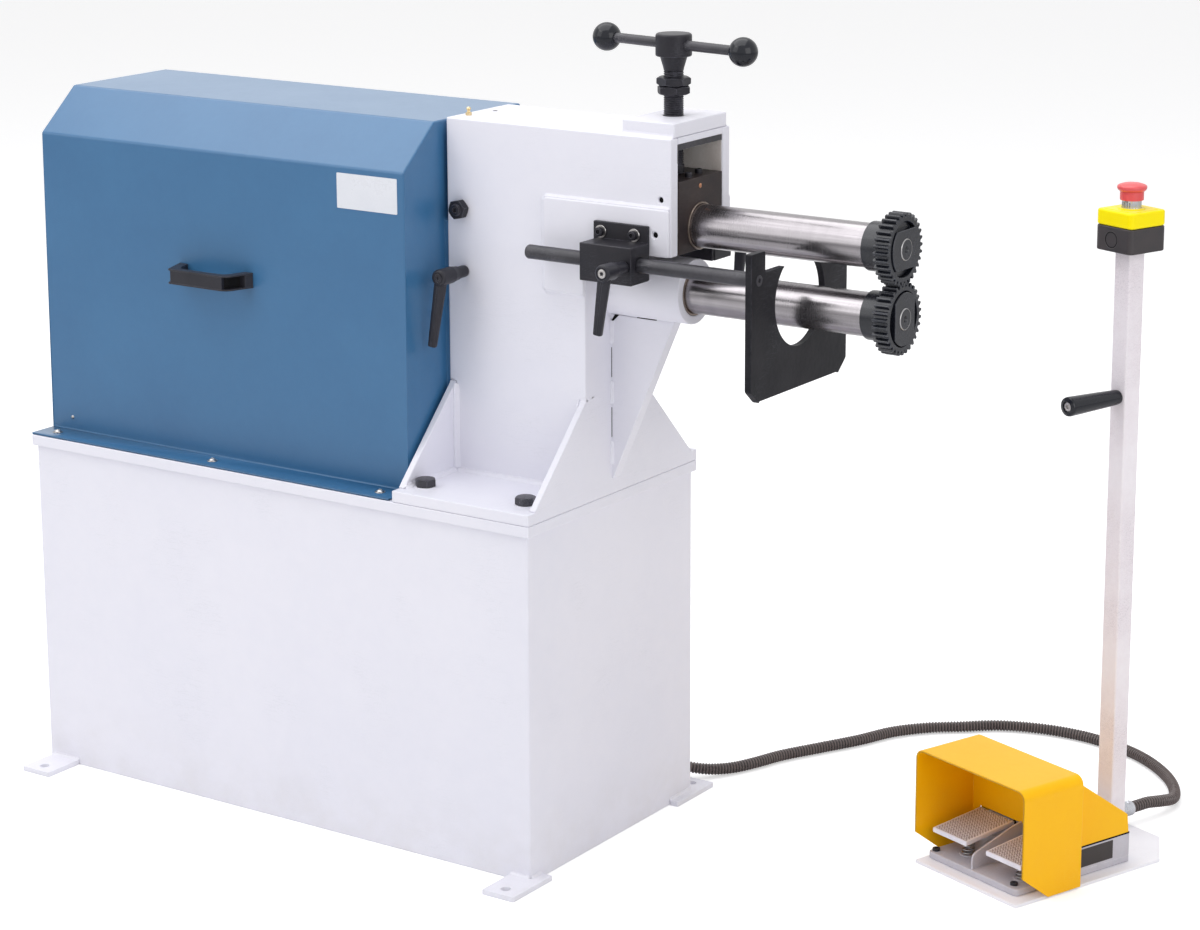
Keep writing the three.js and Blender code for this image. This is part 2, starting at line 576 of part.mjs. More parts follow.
// The two blocks that carry the upper shaft, and the pivot screws that they tilt on.
function buildTiltingMount() {
  const left = pivotX - pivotBlock.left;
  const right = left + pivotBlock.length;
  const pinHole = (sign) => {
    const ends = [sign * (blockHalf - pivot.pinDepth), sign * (blockHalf + overrun)].sort((a, b) => a - b);
    return pin('y', ...ends, clear(pivot.pin), [pivotX, upperZ]);
  };
  add('rear_pivot_block', cut(
    slab([left, right], [-blockHalf, blockHalf], [upperZ - pivotBlock.halfHeight, upperZ + pivotBlock.halfHeight]),
    pin('x', left - overrun, right + overrun, clear(shaft.journal), [0, upperZ]),
    pinHole(1), pinHole(-1),
  ), finish.black());

  add('bearing_block', cut(
    slab([headRight - bearing.length, headRight], [-blockHalf, blockHalf], [throatZ + gap, bearingTop]),
    pin('x', headRight - bearing.length - overrun, headRight + overrun, clear(shaft.radius, fine), [0, upperZ], fine),
  ), finish.black());

  for (const [name, sign] of [['front_pivot_screw', -1], ['back_pivot_screw', 1]]) {
    const span = (a, b) => [sign * a, sign * b].sort((c, d) => c - d);
    const face = column.halfDepth + gap;
    add(name, join(
      prism('y', hexagon(pivot.hexCorners, [pivotX, upperZ]), ...span(face, face + pivot.hexThick)),
      pin('y', ...span(cheekInner, face + sink), pivot.shank, [pivotX, upperZ]),
      pin('y', ...span(blockHalf - pivot.pinDepth + sink, cheekInner + sink), pivot.pin, [pivotX, upperZ]),
    ), finish.black());
  }
}

// The adjusting screw with its swivel foot, jam nuts and cross handle.
function buildAdjuster() {
  const footBottom = bearingTop + screwFoot.play;
  const footTop = footBottom + screwFoot.thick;
  const noseWell = footTop - screwFoot.seatDepth;
  const crownSteps = 4;
  const crown = Array.from({ length: crownSteps }, (_, i) => {
    const radius = (screwFoot.radius * i) / (crownSteps - 1);
    return [radius, footBottom + screwFoot.crown - Math.sqrt(screwFoot.crown ** 2 - radius ** 2)];
  });
  add('screw_foot', turned('z', [
    ...crown, [screwFoot.radius, footTop], [clear(screw.nose), footTop], [clear(screw.nose), noseWell], [0, noseWell],
  ], [screwX, 0], plain), finish.steel());

  const threadTop = bridgeTop + screw.top;
  const noseTop = footTop + gap;
  add('adjusting_screw', turned('z', [
    [0, noseWell + gap], [screw.nose, noseWell + gap], [screw.nose, noseTop], [screw.radius, noseTop],
    [screw.radius, threadTop], [screw.spigot, threadTop], [screw.spigot, threadTop + screw.spigotLength],
    [0, threadTop + screw.spigotLength],
  ], [screwX, 0], plain), finish.black());

  const nutBottom = bridgeTop + nuts.rise;
  const corners = nuts.acrossFlats / Math.cos(Math.PI / 6);
  add('stop_nuts', cut(
    join(
      prism('z', hexagon(corners, [screwX, 0], nuts.lowerTurn), nutBottom, nutBottom + nuts.thick),
      prism('z', hexagon(corners, [screwX, 0], nuts.upperTurn), nutBottom + nuts.thick - gap,
        nutBottom + 2 * nuts.thick),
    ),
    pin('z', nutBottom - overrun, nutBottom + 2 * nuts.thick + overrun, clear(screw.radius, fine), [screwX, 0], fine),
  ), finish.black());

  const handle = place(screwX, 0, threadTop + gap, bar.turn);
  const hubTop = hub.neckHeight + hub.height;
  const barZ = hub.neckHeight + bar.rise;
  add('handle_hub', cut(
    turned('z', [
      [0, 0], [hub.neckBottom, 0], [hub.neckTop, hub.neckHeight], [hub.radius, hub.neckHeight],
      [hub.radius, hubTop - hub.rim], [hub.radius - hub.rim, hubTop], [0, hubTop],
    ]),
    pin('z', -overrun, screw.spigotLength + gap, clear(screw.spigot), [0, 0]),
    pin('x', -hub.radius - overrun, hub.radius + overrun, clear(bar.radius), [0, barZ]),
  ), finish.black(), handle);
  add('cross_bar', pin('x', -bar.reach, bar.reach, bar.radius, [0, barZ]), finish.black(), handle);

  for (const [name, sign] of [['left_ball_knob', -1], ['right_ball_knob', 1]]) {
    const ball = new THREE.SphereGeometry(knob.radius, plain, plain / 2);
    const mouth = knob.reach - knob.radius;
    const ends = [sign * (mouth - overrun), sign * (mouth + knob.boreDepth)].sort((a, b) => a - b);
    add(name, cut(
      solid(ball.translate(sign * knob.reach, 0, barZ)),
      pin('x', ...ends, clear(bar.radius), [0, barZ]),
    ), finish.plastic(), handle);
  }
}

// The two clamp blocks on the head, the rods that slide in them and the fence.
function buildFence() {
  const left = columnRight + block.left;
  const right = left + block.length;
  const plateLeft = columnRight + blockPlate.left;
  const leverX = right - rodLever.fromRight;
  const fenceZ = (rise) => lowerZ + rise;
  for (const [side, sign] of [['front', -1], ['rear', 1]]) {
    const span = (a, b) => [sign * a, sign * b].sort((c, d) => c - d);
    const plateBack = padFace + gap;
    const plateFront = plateBack + blockPlate.thick;
    const y = sign * rodY;
    add(`${side}_clamp_block`, cut(
      join(
        slab([left, right], span(plateFront - sink, block.front), [rodZ - block.below, rodZ + block.above]),
        slab([plateLeft, plateLeft + blockPlate.length], span(plateBack, plateFront),
          [rodZ - block.below, rodZ + blockPlate.above]),
      ),
      pin('x', plateLeft - overrun, right + overrun, clear(rodSize.radius), [y, rodZ]),
      pin('y', ...span(rodY, block.front + overrun), clear(lever.stub), [leverX, rodZ]),
    ), finish.black());
    add(`${side}_rod`, pin('x', rodLeft, rodLeft + rodSize.length, rodSize.radius, [y, rodZ]), finish.black());
    addLever(`${side}_clamp_lever`, sign, leverX, rodZ, block.front + gap, rodLever);
  }

  const half = [
    [fence.half - fence.chamferRun, fenceZ(-fence.bottom)],
    [fence.half, fenceZ(-fence.bottom + fence.chamferRise)],
    [fence.half, fenceZ(fence.top)], [fence.tabInner, fenceZ(fence.top)], [fence.tabInner, fenceZ(fence.shelf)],
  ];
  const outline = [...half, ...half.map(([y, z]) => [-y, z]).reverse()];
  add('fence_plate', cut(
    prism('x', outline, fenceLeft, fenceLeft + fence.thick),
    pin('x', fenceLeft - overrun, fenceLeft + fence.thick + overrun, fence.cut, [0, fenceZ(fence.cutRise)], fine),
  ), finish.black());
}

// A clamp lever: a hub out of a front or back face, and an arm that hangs from it.
function addLever(name, sign, x, z, face, { hubLength, arm, lean, stubLength }) {
  const end = face + hubLength;
  const waist = face + hubLength * lever.hubShare;
  const profile = [
    [0, face - stubLength], [lever.stub, face - stubLength], [lever.stub, face], [lever.neck, face],
    [lever.hub, waist], [lever.hub, end - lever.capThick], [lever.cap, end], [0, end],
  ].map(([radius, y]) => [radius, sign * y]);
  const angle = THREE.MathUtils.degToRad(lean);
  const along = new THREE.Vector2(Math.sin(angle), -Math.cos(angle));
  const across = new THREE.Vector2(-along.y, along.x);
  const corner = (reach, half) => {
    const spot = along.clone().multiplyScalar(reach).addScaledVector(across, half);
    return [x + spot.x, z + spot.y];
  };
  const outline = [
    corner(0, -lever.armTop), corner(arm, -lever.armEnd), corner(arm, lever.armEnd), corner(0, lever.armTop),
  ];
  const armSpan = [sign * (end - lever.capThick - lever.armThick), sign * (end - lever.capThick)];
  add(name, join(
    turned('y', profile, [x, z], plain),
    prism('y', outline, ...armSpan.sort((a, b) => a - b)),
  ), finish.black());
}

// The stand: floor plate, square pole and the grip's spindle, welded together.
function buildStand(station) {
  const { wide, deep, thick, cornerWide, cornerDeep } = floorPlate;
  const outline = [
    [-wide, 0], [0, 0], [0, deep - cornerDeep], [-cornerWide, deep], [-wide + cornerWide, deep],
    [-wide, deep - cornerDeep],
  ];
  const half = pole.side / 2;
  const square = (inner, z0, z1) => slab([pole.u - half + inner, pole.u + half - inner],
    [pole.w - half + inner, pole.w + half - inner], [z0, z1]);
  const poleTop = thick + pole.height;
  const gripZ = thick + grip.rise;
  const gripEnd = pole.w - half - gap - grip.length;
  const headFace = gripEnd + grip.headWell - gap;
  const spindle = join(
    pin('y', headFace - grip.headThick / 2, pole.w - half + sink, grip.spindle, [pole.u, gripZ]),
    pin('y', headFace - grip.headThick, headFace, grip.head, [pole.u, gripZ]),
  );
  const tubeShape = cut(
    join(square(0, thick - sink, poleTop), spindle),
    square(pole.wall, thick + sink, poleTop + overrun),
    pin('y', pole.w + half - pole.wall - overrun, pole.w + half + overrun, clear(gland.shank), [pole.u, gland.rise]),
  );
  add('station_stand', join(prism('z', outline, 0, thick), tubeShape), finish.paint(), station);

  const faceW = pole.w - half - gap;
  const middle = (faceW + gripEnd) / 2;
  add('pole_grip', turned('y', [
    [clear(grip.spindle), faceW], [grip.waist, faceW], [grip.radius, middle], [grip.waist, gripEnd],
    [clear(grip.head), gripEnd], [clear(grip.head), gripEnd + grip.headWell],
    [clear(grip.spindle), gripEnd + grip.headWell],
  ], [pole.u, gripZ], plain), finish.plastic(), station);
  return poleTop;
}

// The emergency stop: a box on the pole, its lid with a collar, and the sprung button.
function buildStop(station, poleTop) {
  const half = stop.side / 2;
  const centre = [pole.u, pole.w];
  const square = (inner, z0, z1) => slab([pole.u - half + inner, pole.u + half - inner],
    [pole.w - half + inner, pole.w + half - inner], [z0, z1]);
  const boxBottom = poleTop + gap;
  const boxTop = boxBottom + stop.boxHeight;
  add('estop_box', cut(square(0, boxBottom, boxTop), square(stop.wall, boxBottom + stop.wall, boxTop + overrun)),
    finish.plastic(), station);

  const lidBottom = boxTop + gap;
  const lidTop = lidBottom + stop.lidHeight;
  const collarTop = lidTop + stop.collarHeight;
  add('estop_lid', cut(
    join(square(0, lidBottom, lidTop), pin('z', lidTop - sink, collarTop, stop.collar, centre)),
    square(stop.wall, lidBottom - overrun, lidTop - stop.wall),
    pin('z', lidBottom - overrun, collarTop + overrun, clear(stop.stem), centre),
  ), finish.yellow(), station);

  const neckTop = collarTop + stop.skirtHeight;
  const skirtBottom = collarTop + gap;
  add('estop_plunger', turned('z', [
    [0, lidTop - stop.stemDepth], [stop.stem, lidTop - stop.stemDepth], [stop.stem, skirtBottom + stop.skirtWell],
    [clear(stop.collar), skirtBottom + stop.skirtWell], [clear(stop.collar), skirtBottom], [stop.skirt, skirtBottom],
    [stop.skirt, neckTop], [0, neckTop],
  ], centre, plain), finish.red(), station);

  const buttonBottom = neckTop + gap;
  const buttonTop = buttonBottom + stop.buttonHeight;
  const crownShares = [[1, 0], [0.97, 0.25], [0.88, 0.5], [0.7, 0.75], [0.4, 0.94], [0, 1]];
  const crown = crownShares.map(([out, up]) => [stop.button * out, buttonTop - stop.crown * (1 - up)]);
  add('estop_button', turned('z', [
    [0, buttonBottom], [stop.button - sink, buttonBottom], [stop.button, buttonBottom + sink], ...crown,
  ], centre, plain), finish.red(), station);
}

// The double foot switch: base with fin and ears, two sprung pedals, guard and hood.
function buildPedals(station) {
  const bottom = floorPlate.thick + gap;
  const plateTop = bottom + pedalUnit.plate;
  const blockTop = bottom + pedalUnit.block;
  const { left, right, front, back, blockFront } = pedalUnit;
  const finOutline = [
    [fin.front, plateTop - sink], [blockFront + sink, plateTop - sink], [blockFront + sink, fin.high],
    [fin.front, fin.low],
  ];
  const ears = [pedal.leftU, pedal.rightU].flatMap((centre) => [-1, 1].map((sign) => {
    const span = [centre + sign * ear.inner, centre + sign * ear.outer].sort((a, b) => a - b);
    return slab(span, [ear.front, ear.back], [blockTop - sink, blockTop + ear.rise]);
  }));
  const pinHoles = [pedal.leftU, pedal.rightU].map((centre) => (
    pin('x', centre - ear.outer - overrun, centre + ear.outer + overrun, clear(pedal.pin), [pedal.pinW, pedal.pinZ])));
  add('pedal_base', cut(
    join(
      slab([left, right], [front, back], [bottom, plateTop]),
      slab([left, right], [blockFront, back], [plateTop - sink, blockTop]),
      prism('x', finOutline, fin.u - fin.thick / 2, fin.u + fin.thick / 2),
      ...ears,
    ),
    ...pinHoles,
  ), finish.grey(), station);

  const slope = (pedal.backTop - pedal.frontTop) / (pedal.back - pedal.front);
  const plateOutline = [
    [pedal.front, pedal.frontTop - pedal.thick], [pedal.back, pedal.backTop - pedal.thick],
    [pedal.back, pedal.backTop], [pedal.front, pedal.frontTop],
  ];
  const tongueHalf = pedal.tongueThick / 2;
  const tongueOutline = [
    [pedal.back - pedal.thick, pedal.pinZ - tongueHalf], [pedal.tongueBack, pedal.pinZ - tongueHalf],
    [pedal.tongueBack, pedal.pinZ + tongueHalf], [pedal.back - pedal.thick, pedal.pinZ],
  ];
  for (const [side, centre] of [['left', pedal.leftU], ['right', pedal.rightU]]) {
    add(`${side}_pedal`, join(
      prism('x', plateOutline, centre - pedal.wide / 2, centre + pedal.wide / 2),
      prism('x', tongueOutline, centre - pedal.tongue / 2, centre + pedal.tongue / 2),
      pin('x', centre - ear.outer, centre + ear.outer, pedal.pin, [pedal.pinW, pedal.pinZ]),
    ), finish.grey(), station);

    const coil = new Coil(new THREE.Vector3(centre, spring.w, plateTop + gap + spring.wire));
    const section = new THREE.Shape(Array.from({ length: spring.sides }, (_, i) => {
      const angle = (2 * Math.PI * i) / spring.sides;
      return new THREE.Vector2(spring.wire * Math.cos(angle), spring.wire * Math.sin(angle));
    }));
    const wire = new THREE.ExtrudeGeometry(section, {
      steps: spring.curls * spring.steps, extrudePath: coil, bevelEnabled: false,
    });
    add(`${side}_spring`, solid(wire), finish.steel(), station);
  }
  const under = pedal.frontTop - pedal.thick + slope * (spring.w - spring.radius - spring.wire - pedal.front);
  console.log(`pedal springs: least gap between curls ${(coilPitch() - 2 * spring.wire).toFixed(2)} mm, `
    + `to the pedal ${(under - plateTop - gap - spring.height).toFixed(2)} mm`);
  buildGuard(station, blockTop);
}

// The rise of each curl of a pedal spring.
function coilPitch() {
  return (spring.height - 2 * spring.wire) / spring.curls;
}

class Coil extends THREE.Curve {
  constructor(base) {
    super();
    this.base = base;
  }

  getPoint(t, target = new THREE.Vector3()) {
    const angle = 2 * Math.PI * spring.curls * t;
    return target.set(
      this.base.x + spring.radius * Math.cos(angle),
      this.base.y + spring.radius * Math.sin(angle),
      this.base.z + coilPitch() * spring.curls * t,
    );
  }
}

// The arch over the pedals, with its back panel, and the sloping hood behind it.
function buildGuard(station, blockTop) {
  const arch = (inner) => {
    const [l, r, t] = [guard.left + inner, guard.right - inner, guard.top - inner];
    const radius = guard.corner - inner;
    const corner = (u, start) => Array.from({ length: guard.cornerSteps + 1 }, (_, i) => {
      const angle = start + (Math.PI / 2) * (i / guard.cornerSteps);
      return [u + radius * Math.cos(angle), t - radius + radius * Math.sin(angle)];
    });
    const low = inner > 0 ? guard.bottom - overrun : guard.bottom;
    return [[l, low], [r, low], ...corner(r - radius, 0), ...corner(l + radius, Math.PI / 2)];
  };
  const chamfer = [
    [guard.front - overrun, guard.bottom - overrun], [guard.cutBack, guard.bottom - overrun],
    [guard.cutBack, guard.bottom], [guard.front, guard.cutTop], [guard.front - overrun, guard.cutTop],
  ];
  const tunnel = prism('y', arch(guard.wall), guard.front - overrun, guard.back - guard.wall);
  const mouth = slab([guard.left + guard.wall, guard.right - guard.wall],
    [guard.back - guard.wall - overrun, guard.back + overrun], [guard.bottom - overrun, guard.mouth]);
  add('pedal_guard', cut(
    prism('y', arch(0), guard.front, guard.back), tunnel, mouth,
    prism('x', chamfer, guard.left - overrun, guard.right + overrun),
  ), finish.yellow(), station);

  const frontW = guard.back + gap;
  const bottom = blockTop + gap;
  const outline = [
    [frontW, bottom], [hood.back, bottom], [hood.kneeW, hood.kneeZ], [frontW, hood.top],
  ];
  const inner = inset(outline, hood.wall);
  const open = [
    [frontW - overrun, bottom - overrun], [inner[1][0], bottom - overrun], inner[2],
    [frontW - overrun, inner[3][1] + hood.wall * ((hood.top - hood.kneeZ) / (hood.kneeW - frontW))],
  ];
  add('pedal_hood', cut(
    prism('x', outline, hood.left, hood.right),
    prism('x', open, hood.left + hood.wall, hood.right - hood.wall),
  ), finish.yellow(), station);
}

// The two glands, and the ribbed hose that joins them.
function buildHose(station) {
  const half = pole.side / 2;
  const face = pole.w + half + gap;
  add('pole_gland', cut(
    join(
      prism('y', hexagon(gland.hex, [pole.u, gland.rise]), face, face + gland.hexThick),
      pin('y', face + sink, face + gland.reach, gland.body, [pole.u, gland.rise]),
      pin('y', face - gland.shankLength, face + sink, gland.shank, [pole.u, gland.rise]),
    ),
    pin('y', face - gland.shankLength - overrun, face + gland.reach + overrun, gland.bore, [pole.u, gland.rise]),
  ), finish.nickel(), station);

  const wall = halfWidth + gap;
  const outletY = halfWidth + elbow.outletW;
  const outletX = elbow.x + elbow.outlet;
  add('cabinet_gland', cut(
    join(
      slab([elbow.x - elbow.wide, elbow.x], [wall, wall + elbow.deep],
        [elbow.rise - elbow.high / 2, elbow.rise + elbow.high / 2]),
      pin('x', elbow.x - sink, outletX, gland.body, [outletY, elbow.rise]),
      pin('y', wall - gland.shankLength, wall + sink, gland.shank, [elbow.x - elbow.wide / 2, elbow.rise]),
    ),
    pin('x', outletX - elbow.boreDepth, outletX + overrun, gland.bore, [outletY, elbow.rise]),
  ), finish.nickel());

  const out = new THREE.Vector3(0, 1, 0).applyQuaternion(station.quaternion);
  const start = station.localToWorld(new THREE.Vector3(pole.u, face + gland.reach + gap, gland.rise));
  const end = new THREE.Vector3(outletX + gap, outletY, elbow.rise);
  const back = new THREE.Vector3(1, 0, 0);
  const diameter = 2 * hose.ridge;
  const beyond = (from, direction, times) => from.clone().addScaledVector(direction, diameter * times);
  const bendStartShares = [1, 1.8];
  const points = [
    ...bendStartShares.map((times) => beyond(start, out, times)),
    ...route.map((p) => new THREE.Vector3(...p)),
    ...bendStartShares.map((times) => beyond(end, back, times)).reverse(),
  ];
  const path = new THREE.CurvePath();
  path.add(new THREE.LineCurve3(start, points[0]));
  path.add(new THREE.CatmullRomCurve3(points, false, 'centripetal'));
  path.add(new THREE.LineCurve3(points[points.length - 1], end));
  machine.add(ribbedHose(path));
  console.log('hose ends', start.toArray().map((v) => v.toFixed(2)), end.toArray(), 'length',
    path.getLength().toFixed(1));
}

// A ribbed hose: rings of points alternate between ridge and groove outside, and a
// smooth bore runs inside. Both ends are flat rings.
function ribbedHose(path) {
  const rings = 2 * hose.ribs + 1;
  const centres = path.getSpacedPoints(rings - 1);
  const positions = [];
  const triangles = [];
  let side = new THREE.Vector3(0, 0, 1);
  const frames = centres.map((centre, i) => {
    const ahead = centres[Math.min(i + 1, rings - 1)].clone().sub(centres[Math.max(i - 1, 0)]).normalize();
    side = side.clone().addScaledVector(ahead, -side.dot(ahead)).normalize();
    return { centre, side, other: ahead.clone().cross(side) };
  });
  const ring = ({ centre, side: a, other: b }, radius) => {
    const first = positions.length / 3;
    for (let k = 0; k < hose.sides; k += 1) {
      const angle = (2 * Math.PI * k) / hose.sides;
      const spot = centre.clone().addScaledVector(a, radius * Math.cos(angle)).addScaledVector(b, radius * Math.sin(angle));
      positions.push(...spot.toArray());
    }
    return first;
  };
  const band = (a, b) => {
    for (let k = 0; k < hose.sides; k += 1) {
      const next = (k + 1) % hose.sides;
      triangles.push(a + k, a + next, b + next, a + k, b + next, b + k);
    }
  };
  const outer = frames.map((frame, i) => ring(frame, i % 2 ? hose.ridge : hose.groove));
  const boreStep = 2 * hose.boreEvery;
  const inner = frames.filter((_, i) => i % boreStep === 0 || i === rings - 1).map((frame) => ring(frame, hose.bore));
  for (let i = 1; i < outer.length; i += 1) band(outer[i - 1], outer[i]);
  for (let i = 1; i < inner.length; i += 1) band(inner[i], inner[i - 1]);
  band(inner[0], outer[0]);
  band(outer[outer.length - 1], inner[inner.length - 1]);

  let least = Infinity;
  const apart = Math.ceil(rings / 12);
  for (let i = 0; i < rings; i += 4) {
    for (let j = i + apart; j < rings; j += 4) least = Math.min(least, centres[i].distanceTo(centres[j]));
  }
  console.log(`hose: least gap to itself ${(least - 2 * hose.ridge).toFixed(1)} mm`);

  const geometry = new THREE.BufferGeometry();
  geometry.setAttribute('position', new THREE.Float32BufferAttribute(positions, 3));
  geometry.setIndex(triangles);
  geometry.computeVertexNormals();
  const rubber = new THREE.MeshStandardMaterial({ color: 0x2e2a2a, roughness: 0.6, metalness: 0 });
  const mesh = new THREE.Mesh(geometry, rubber);
  mesh.name = 'hose';
  return mesh;
}

buildCabinet();
buildFeet();
buildCover();
buildColumn();
buildBearingTube();
buildDrive();
buildShaftLines();
buildTiltingMount();
buildAdjuster();
buildFence();
addLever('column_clamp_lever', -1, columnLeft + columnLever.inset, lowerZ + columnLever.rise,
  column.halfDepth + gap, columnLever);
const station = place(stand.x, stand.y, 0, stand.turn);
buildStop(station, buildStand(station));
buildPedals(station);
buildHose(station);

export default machine;
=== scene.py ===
"""The looks of a motorised swaging and beading machine with its pedal stand, made round the
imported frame. Sizes are in millimetres, as in the part's source, and become metres as each piece is
made. Only the camera and the lamps are placed in metres."""
import json
import math

import bmesh
import bpy
import numpy as np
from mathutils import Matrix, Vector
from mathutils.geometry import delaunay_2d_cdt


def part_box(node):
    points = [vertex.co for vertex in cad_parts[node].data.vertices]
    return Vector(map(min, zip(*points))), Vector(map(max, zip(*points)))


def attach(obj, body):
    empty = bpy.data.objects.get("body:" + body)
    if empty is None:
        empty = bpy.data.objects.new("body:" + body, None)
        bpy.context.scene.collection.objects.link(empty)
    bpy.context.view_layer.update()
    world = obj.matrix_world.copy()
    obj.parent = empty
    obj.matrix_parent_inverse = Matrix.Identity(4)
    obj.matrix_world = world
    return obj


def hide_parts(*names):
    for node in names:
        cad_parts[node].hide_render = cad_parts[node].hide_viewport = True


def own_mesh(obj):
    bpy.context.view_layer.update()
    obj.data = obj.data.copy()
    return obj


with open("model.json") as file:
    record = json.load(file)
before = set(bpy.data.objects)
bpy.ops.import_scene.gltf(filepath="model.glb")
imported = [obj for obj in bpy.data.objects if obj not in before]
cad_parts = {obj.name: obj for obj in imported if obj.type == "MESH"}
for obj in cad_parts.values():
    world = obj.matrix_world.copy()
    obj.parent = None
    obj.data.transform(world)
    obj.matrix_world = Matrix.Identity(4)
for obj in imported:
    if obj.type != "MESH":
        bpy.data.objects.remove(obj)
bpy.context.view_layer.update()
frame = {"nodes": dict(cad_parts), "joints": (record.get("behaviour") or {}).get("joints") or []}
MM = 0.001


# Places that the frame gives

def span(name):
    """The lowest and highest corners of a CAD node, in millimetres to a tenth."""
    return [[round(value / MM, 1) for value in corner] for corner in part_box(name)]


def pivot(name):
    """The point that a joint turns about, in millimetres to a tenth."""
    return next([round(value / MM, 1) for value in joint["pos_m"]]
                for joint in frame["joints"] if joint["name"] == name)


LOWER_AXIS, UPPER_AXIS = pivot("lower_spin")[1:], pivot("upper_spin")[1:]
SCREW = pivot("screw_turn")[:2]
ROD_Y, ROD_Z = 107.5, pivot("front_lever_turn")[2]


# Surfaces

def onto(axis, a, b, c):
    """Points drawn with (a, b) across an axis and c along it: x takes (y, z), y takes (x, z) and z
    takes (x, y)."""
    a, b, c = np.broadcast_arrays(a, b, c)
    return np.stack({"x": (c, a, b), "y": (a, c, b), "z": (a, b, c)}[axis], -1).astype(float)


def about(axis, at, radius, angle, along):
    """Points at a radius and an angle round a line along an axis."""
    return onto(axis, at[0] + radius * np.cos(angle), at[1] + radius * np.sin(angle), along)


def full_turn(count):
    """This many angles, evenly spread over a turn."""
    return np.linspace(0, 2 * np.pi, count, endpoint=False)


def circle(radius, count):
    """Points on a circle about the origin, anticlockwise."""
    angle = full_turn(count)
    return np.stack([radius * np.cos(angle), radius * np.sin(angle)], 1)


def rectangle(a0, b0, a1, b1):
    """The four corners of a rectangle, anticlockwise."""
    return [(a0, b0), (a1, b0), (a1, b1), (a0, b1)]


def outward(points, faces):
    """Turns every face over where the volume, the sum of a . (b x c) over the faces' triangles, is
    negative."""
    fans = np.array([(f[0], f[i], f[i + 1]) for f in faces for i in range(1, len(f) - 1)])
    a, b, c = (points[fans[:, i]] - points.mean(0) for i in range(3))
    if np.einsum("ij,ij->", a, np.cross(b, c)) < 0:
        faces = [f[::-1] for f in faces]
    return points, faces


def skin(rings, wrap=False):
    """A closed surface through rings of points: quads join each ring to the next, and one face
    closes each end, or with wrap the last ring joins the first."""
    rings = np.asarray(rings, float)
    rows, count = rings.shape[:2]
    i = np.arange(rows if wrap else rows - 1)[:, None]
    j = np.arange(count)[None, :]
    k, l = (i + 1) % rows, (j + 1) % count
    corners = [i * count + j, i * count + l, k * count + l, k * count + j]
    faces = np.stack(np.broadcast_arrays(*corners), -1).reshape(-1, 4).tolist()
    if not wrap:
        faces += [list(range(count))[::-1], list(range((rows - 1) * count, rows * count))]
    return outward(rings.reshape(-1, 3), faces)


def rounded(points, radius, steps=4):
    """Rounds an outline's corners. Each corner P becomes the curve (1-t)^2 A + 2t(1-t) P + t^2 B
    between points A and B on its two edges, a radius from P or just short of half the edge."""
    points = np.asarray(points, float)
    radius = np.broadcast_to(np.asarray(radius, float), len(points))[:, None]

    def back_along(turn):
        way = np.roll(points, turn, 0) - points
        length = np.maximum(np.linalg.norm(way, axis=1, keepdims=True), 1e-9)
        return (points + way * np.minimum(radius / length, 0.49))[:, None]

    t = np.linspace(0, 1, steps + 1)[None, :, None]
    curve = (1 - t) ** 2 * back_along(1) + 2 * t * (1 - t) * points[:, None] + t ** 2 * back_along(-1)
    return curve.reshape(-1, points.shape[1])


def anticlockwise(outline):
    """The outline, turned round where its area, half the sum of x0 y1 - x1 y0, is negative."""
    outline = np.asarray(outline, float)
    ahead = np.roll(outline, -1, 0)
    area = (outline[:, 0] * ahead[:, 1] - ahead[:, 0] * outline[:, 1]).sum()
    return outline[::-1] if area < 0 else outline


def inset(outline, distance):
    """Draws an anticlockwise outline in: each corner moves along the sum of its two edges'
    inward normals, by the distance over one plus their dot product."""
    ahead = np.roll(outline, -1, 0) - outline
    normal = np.stack([-ahead[:, 1], ahead[:, 0]], 1)
    normal /= np.maximum(np.linalg.norm(normal, axis=1, keepdims=True), 1e-9)
    before = np.roll(normal, 1, 0)
    return outline + (before + normal) * distance / (1 + (before * normal).sum(1, keepdims=True))


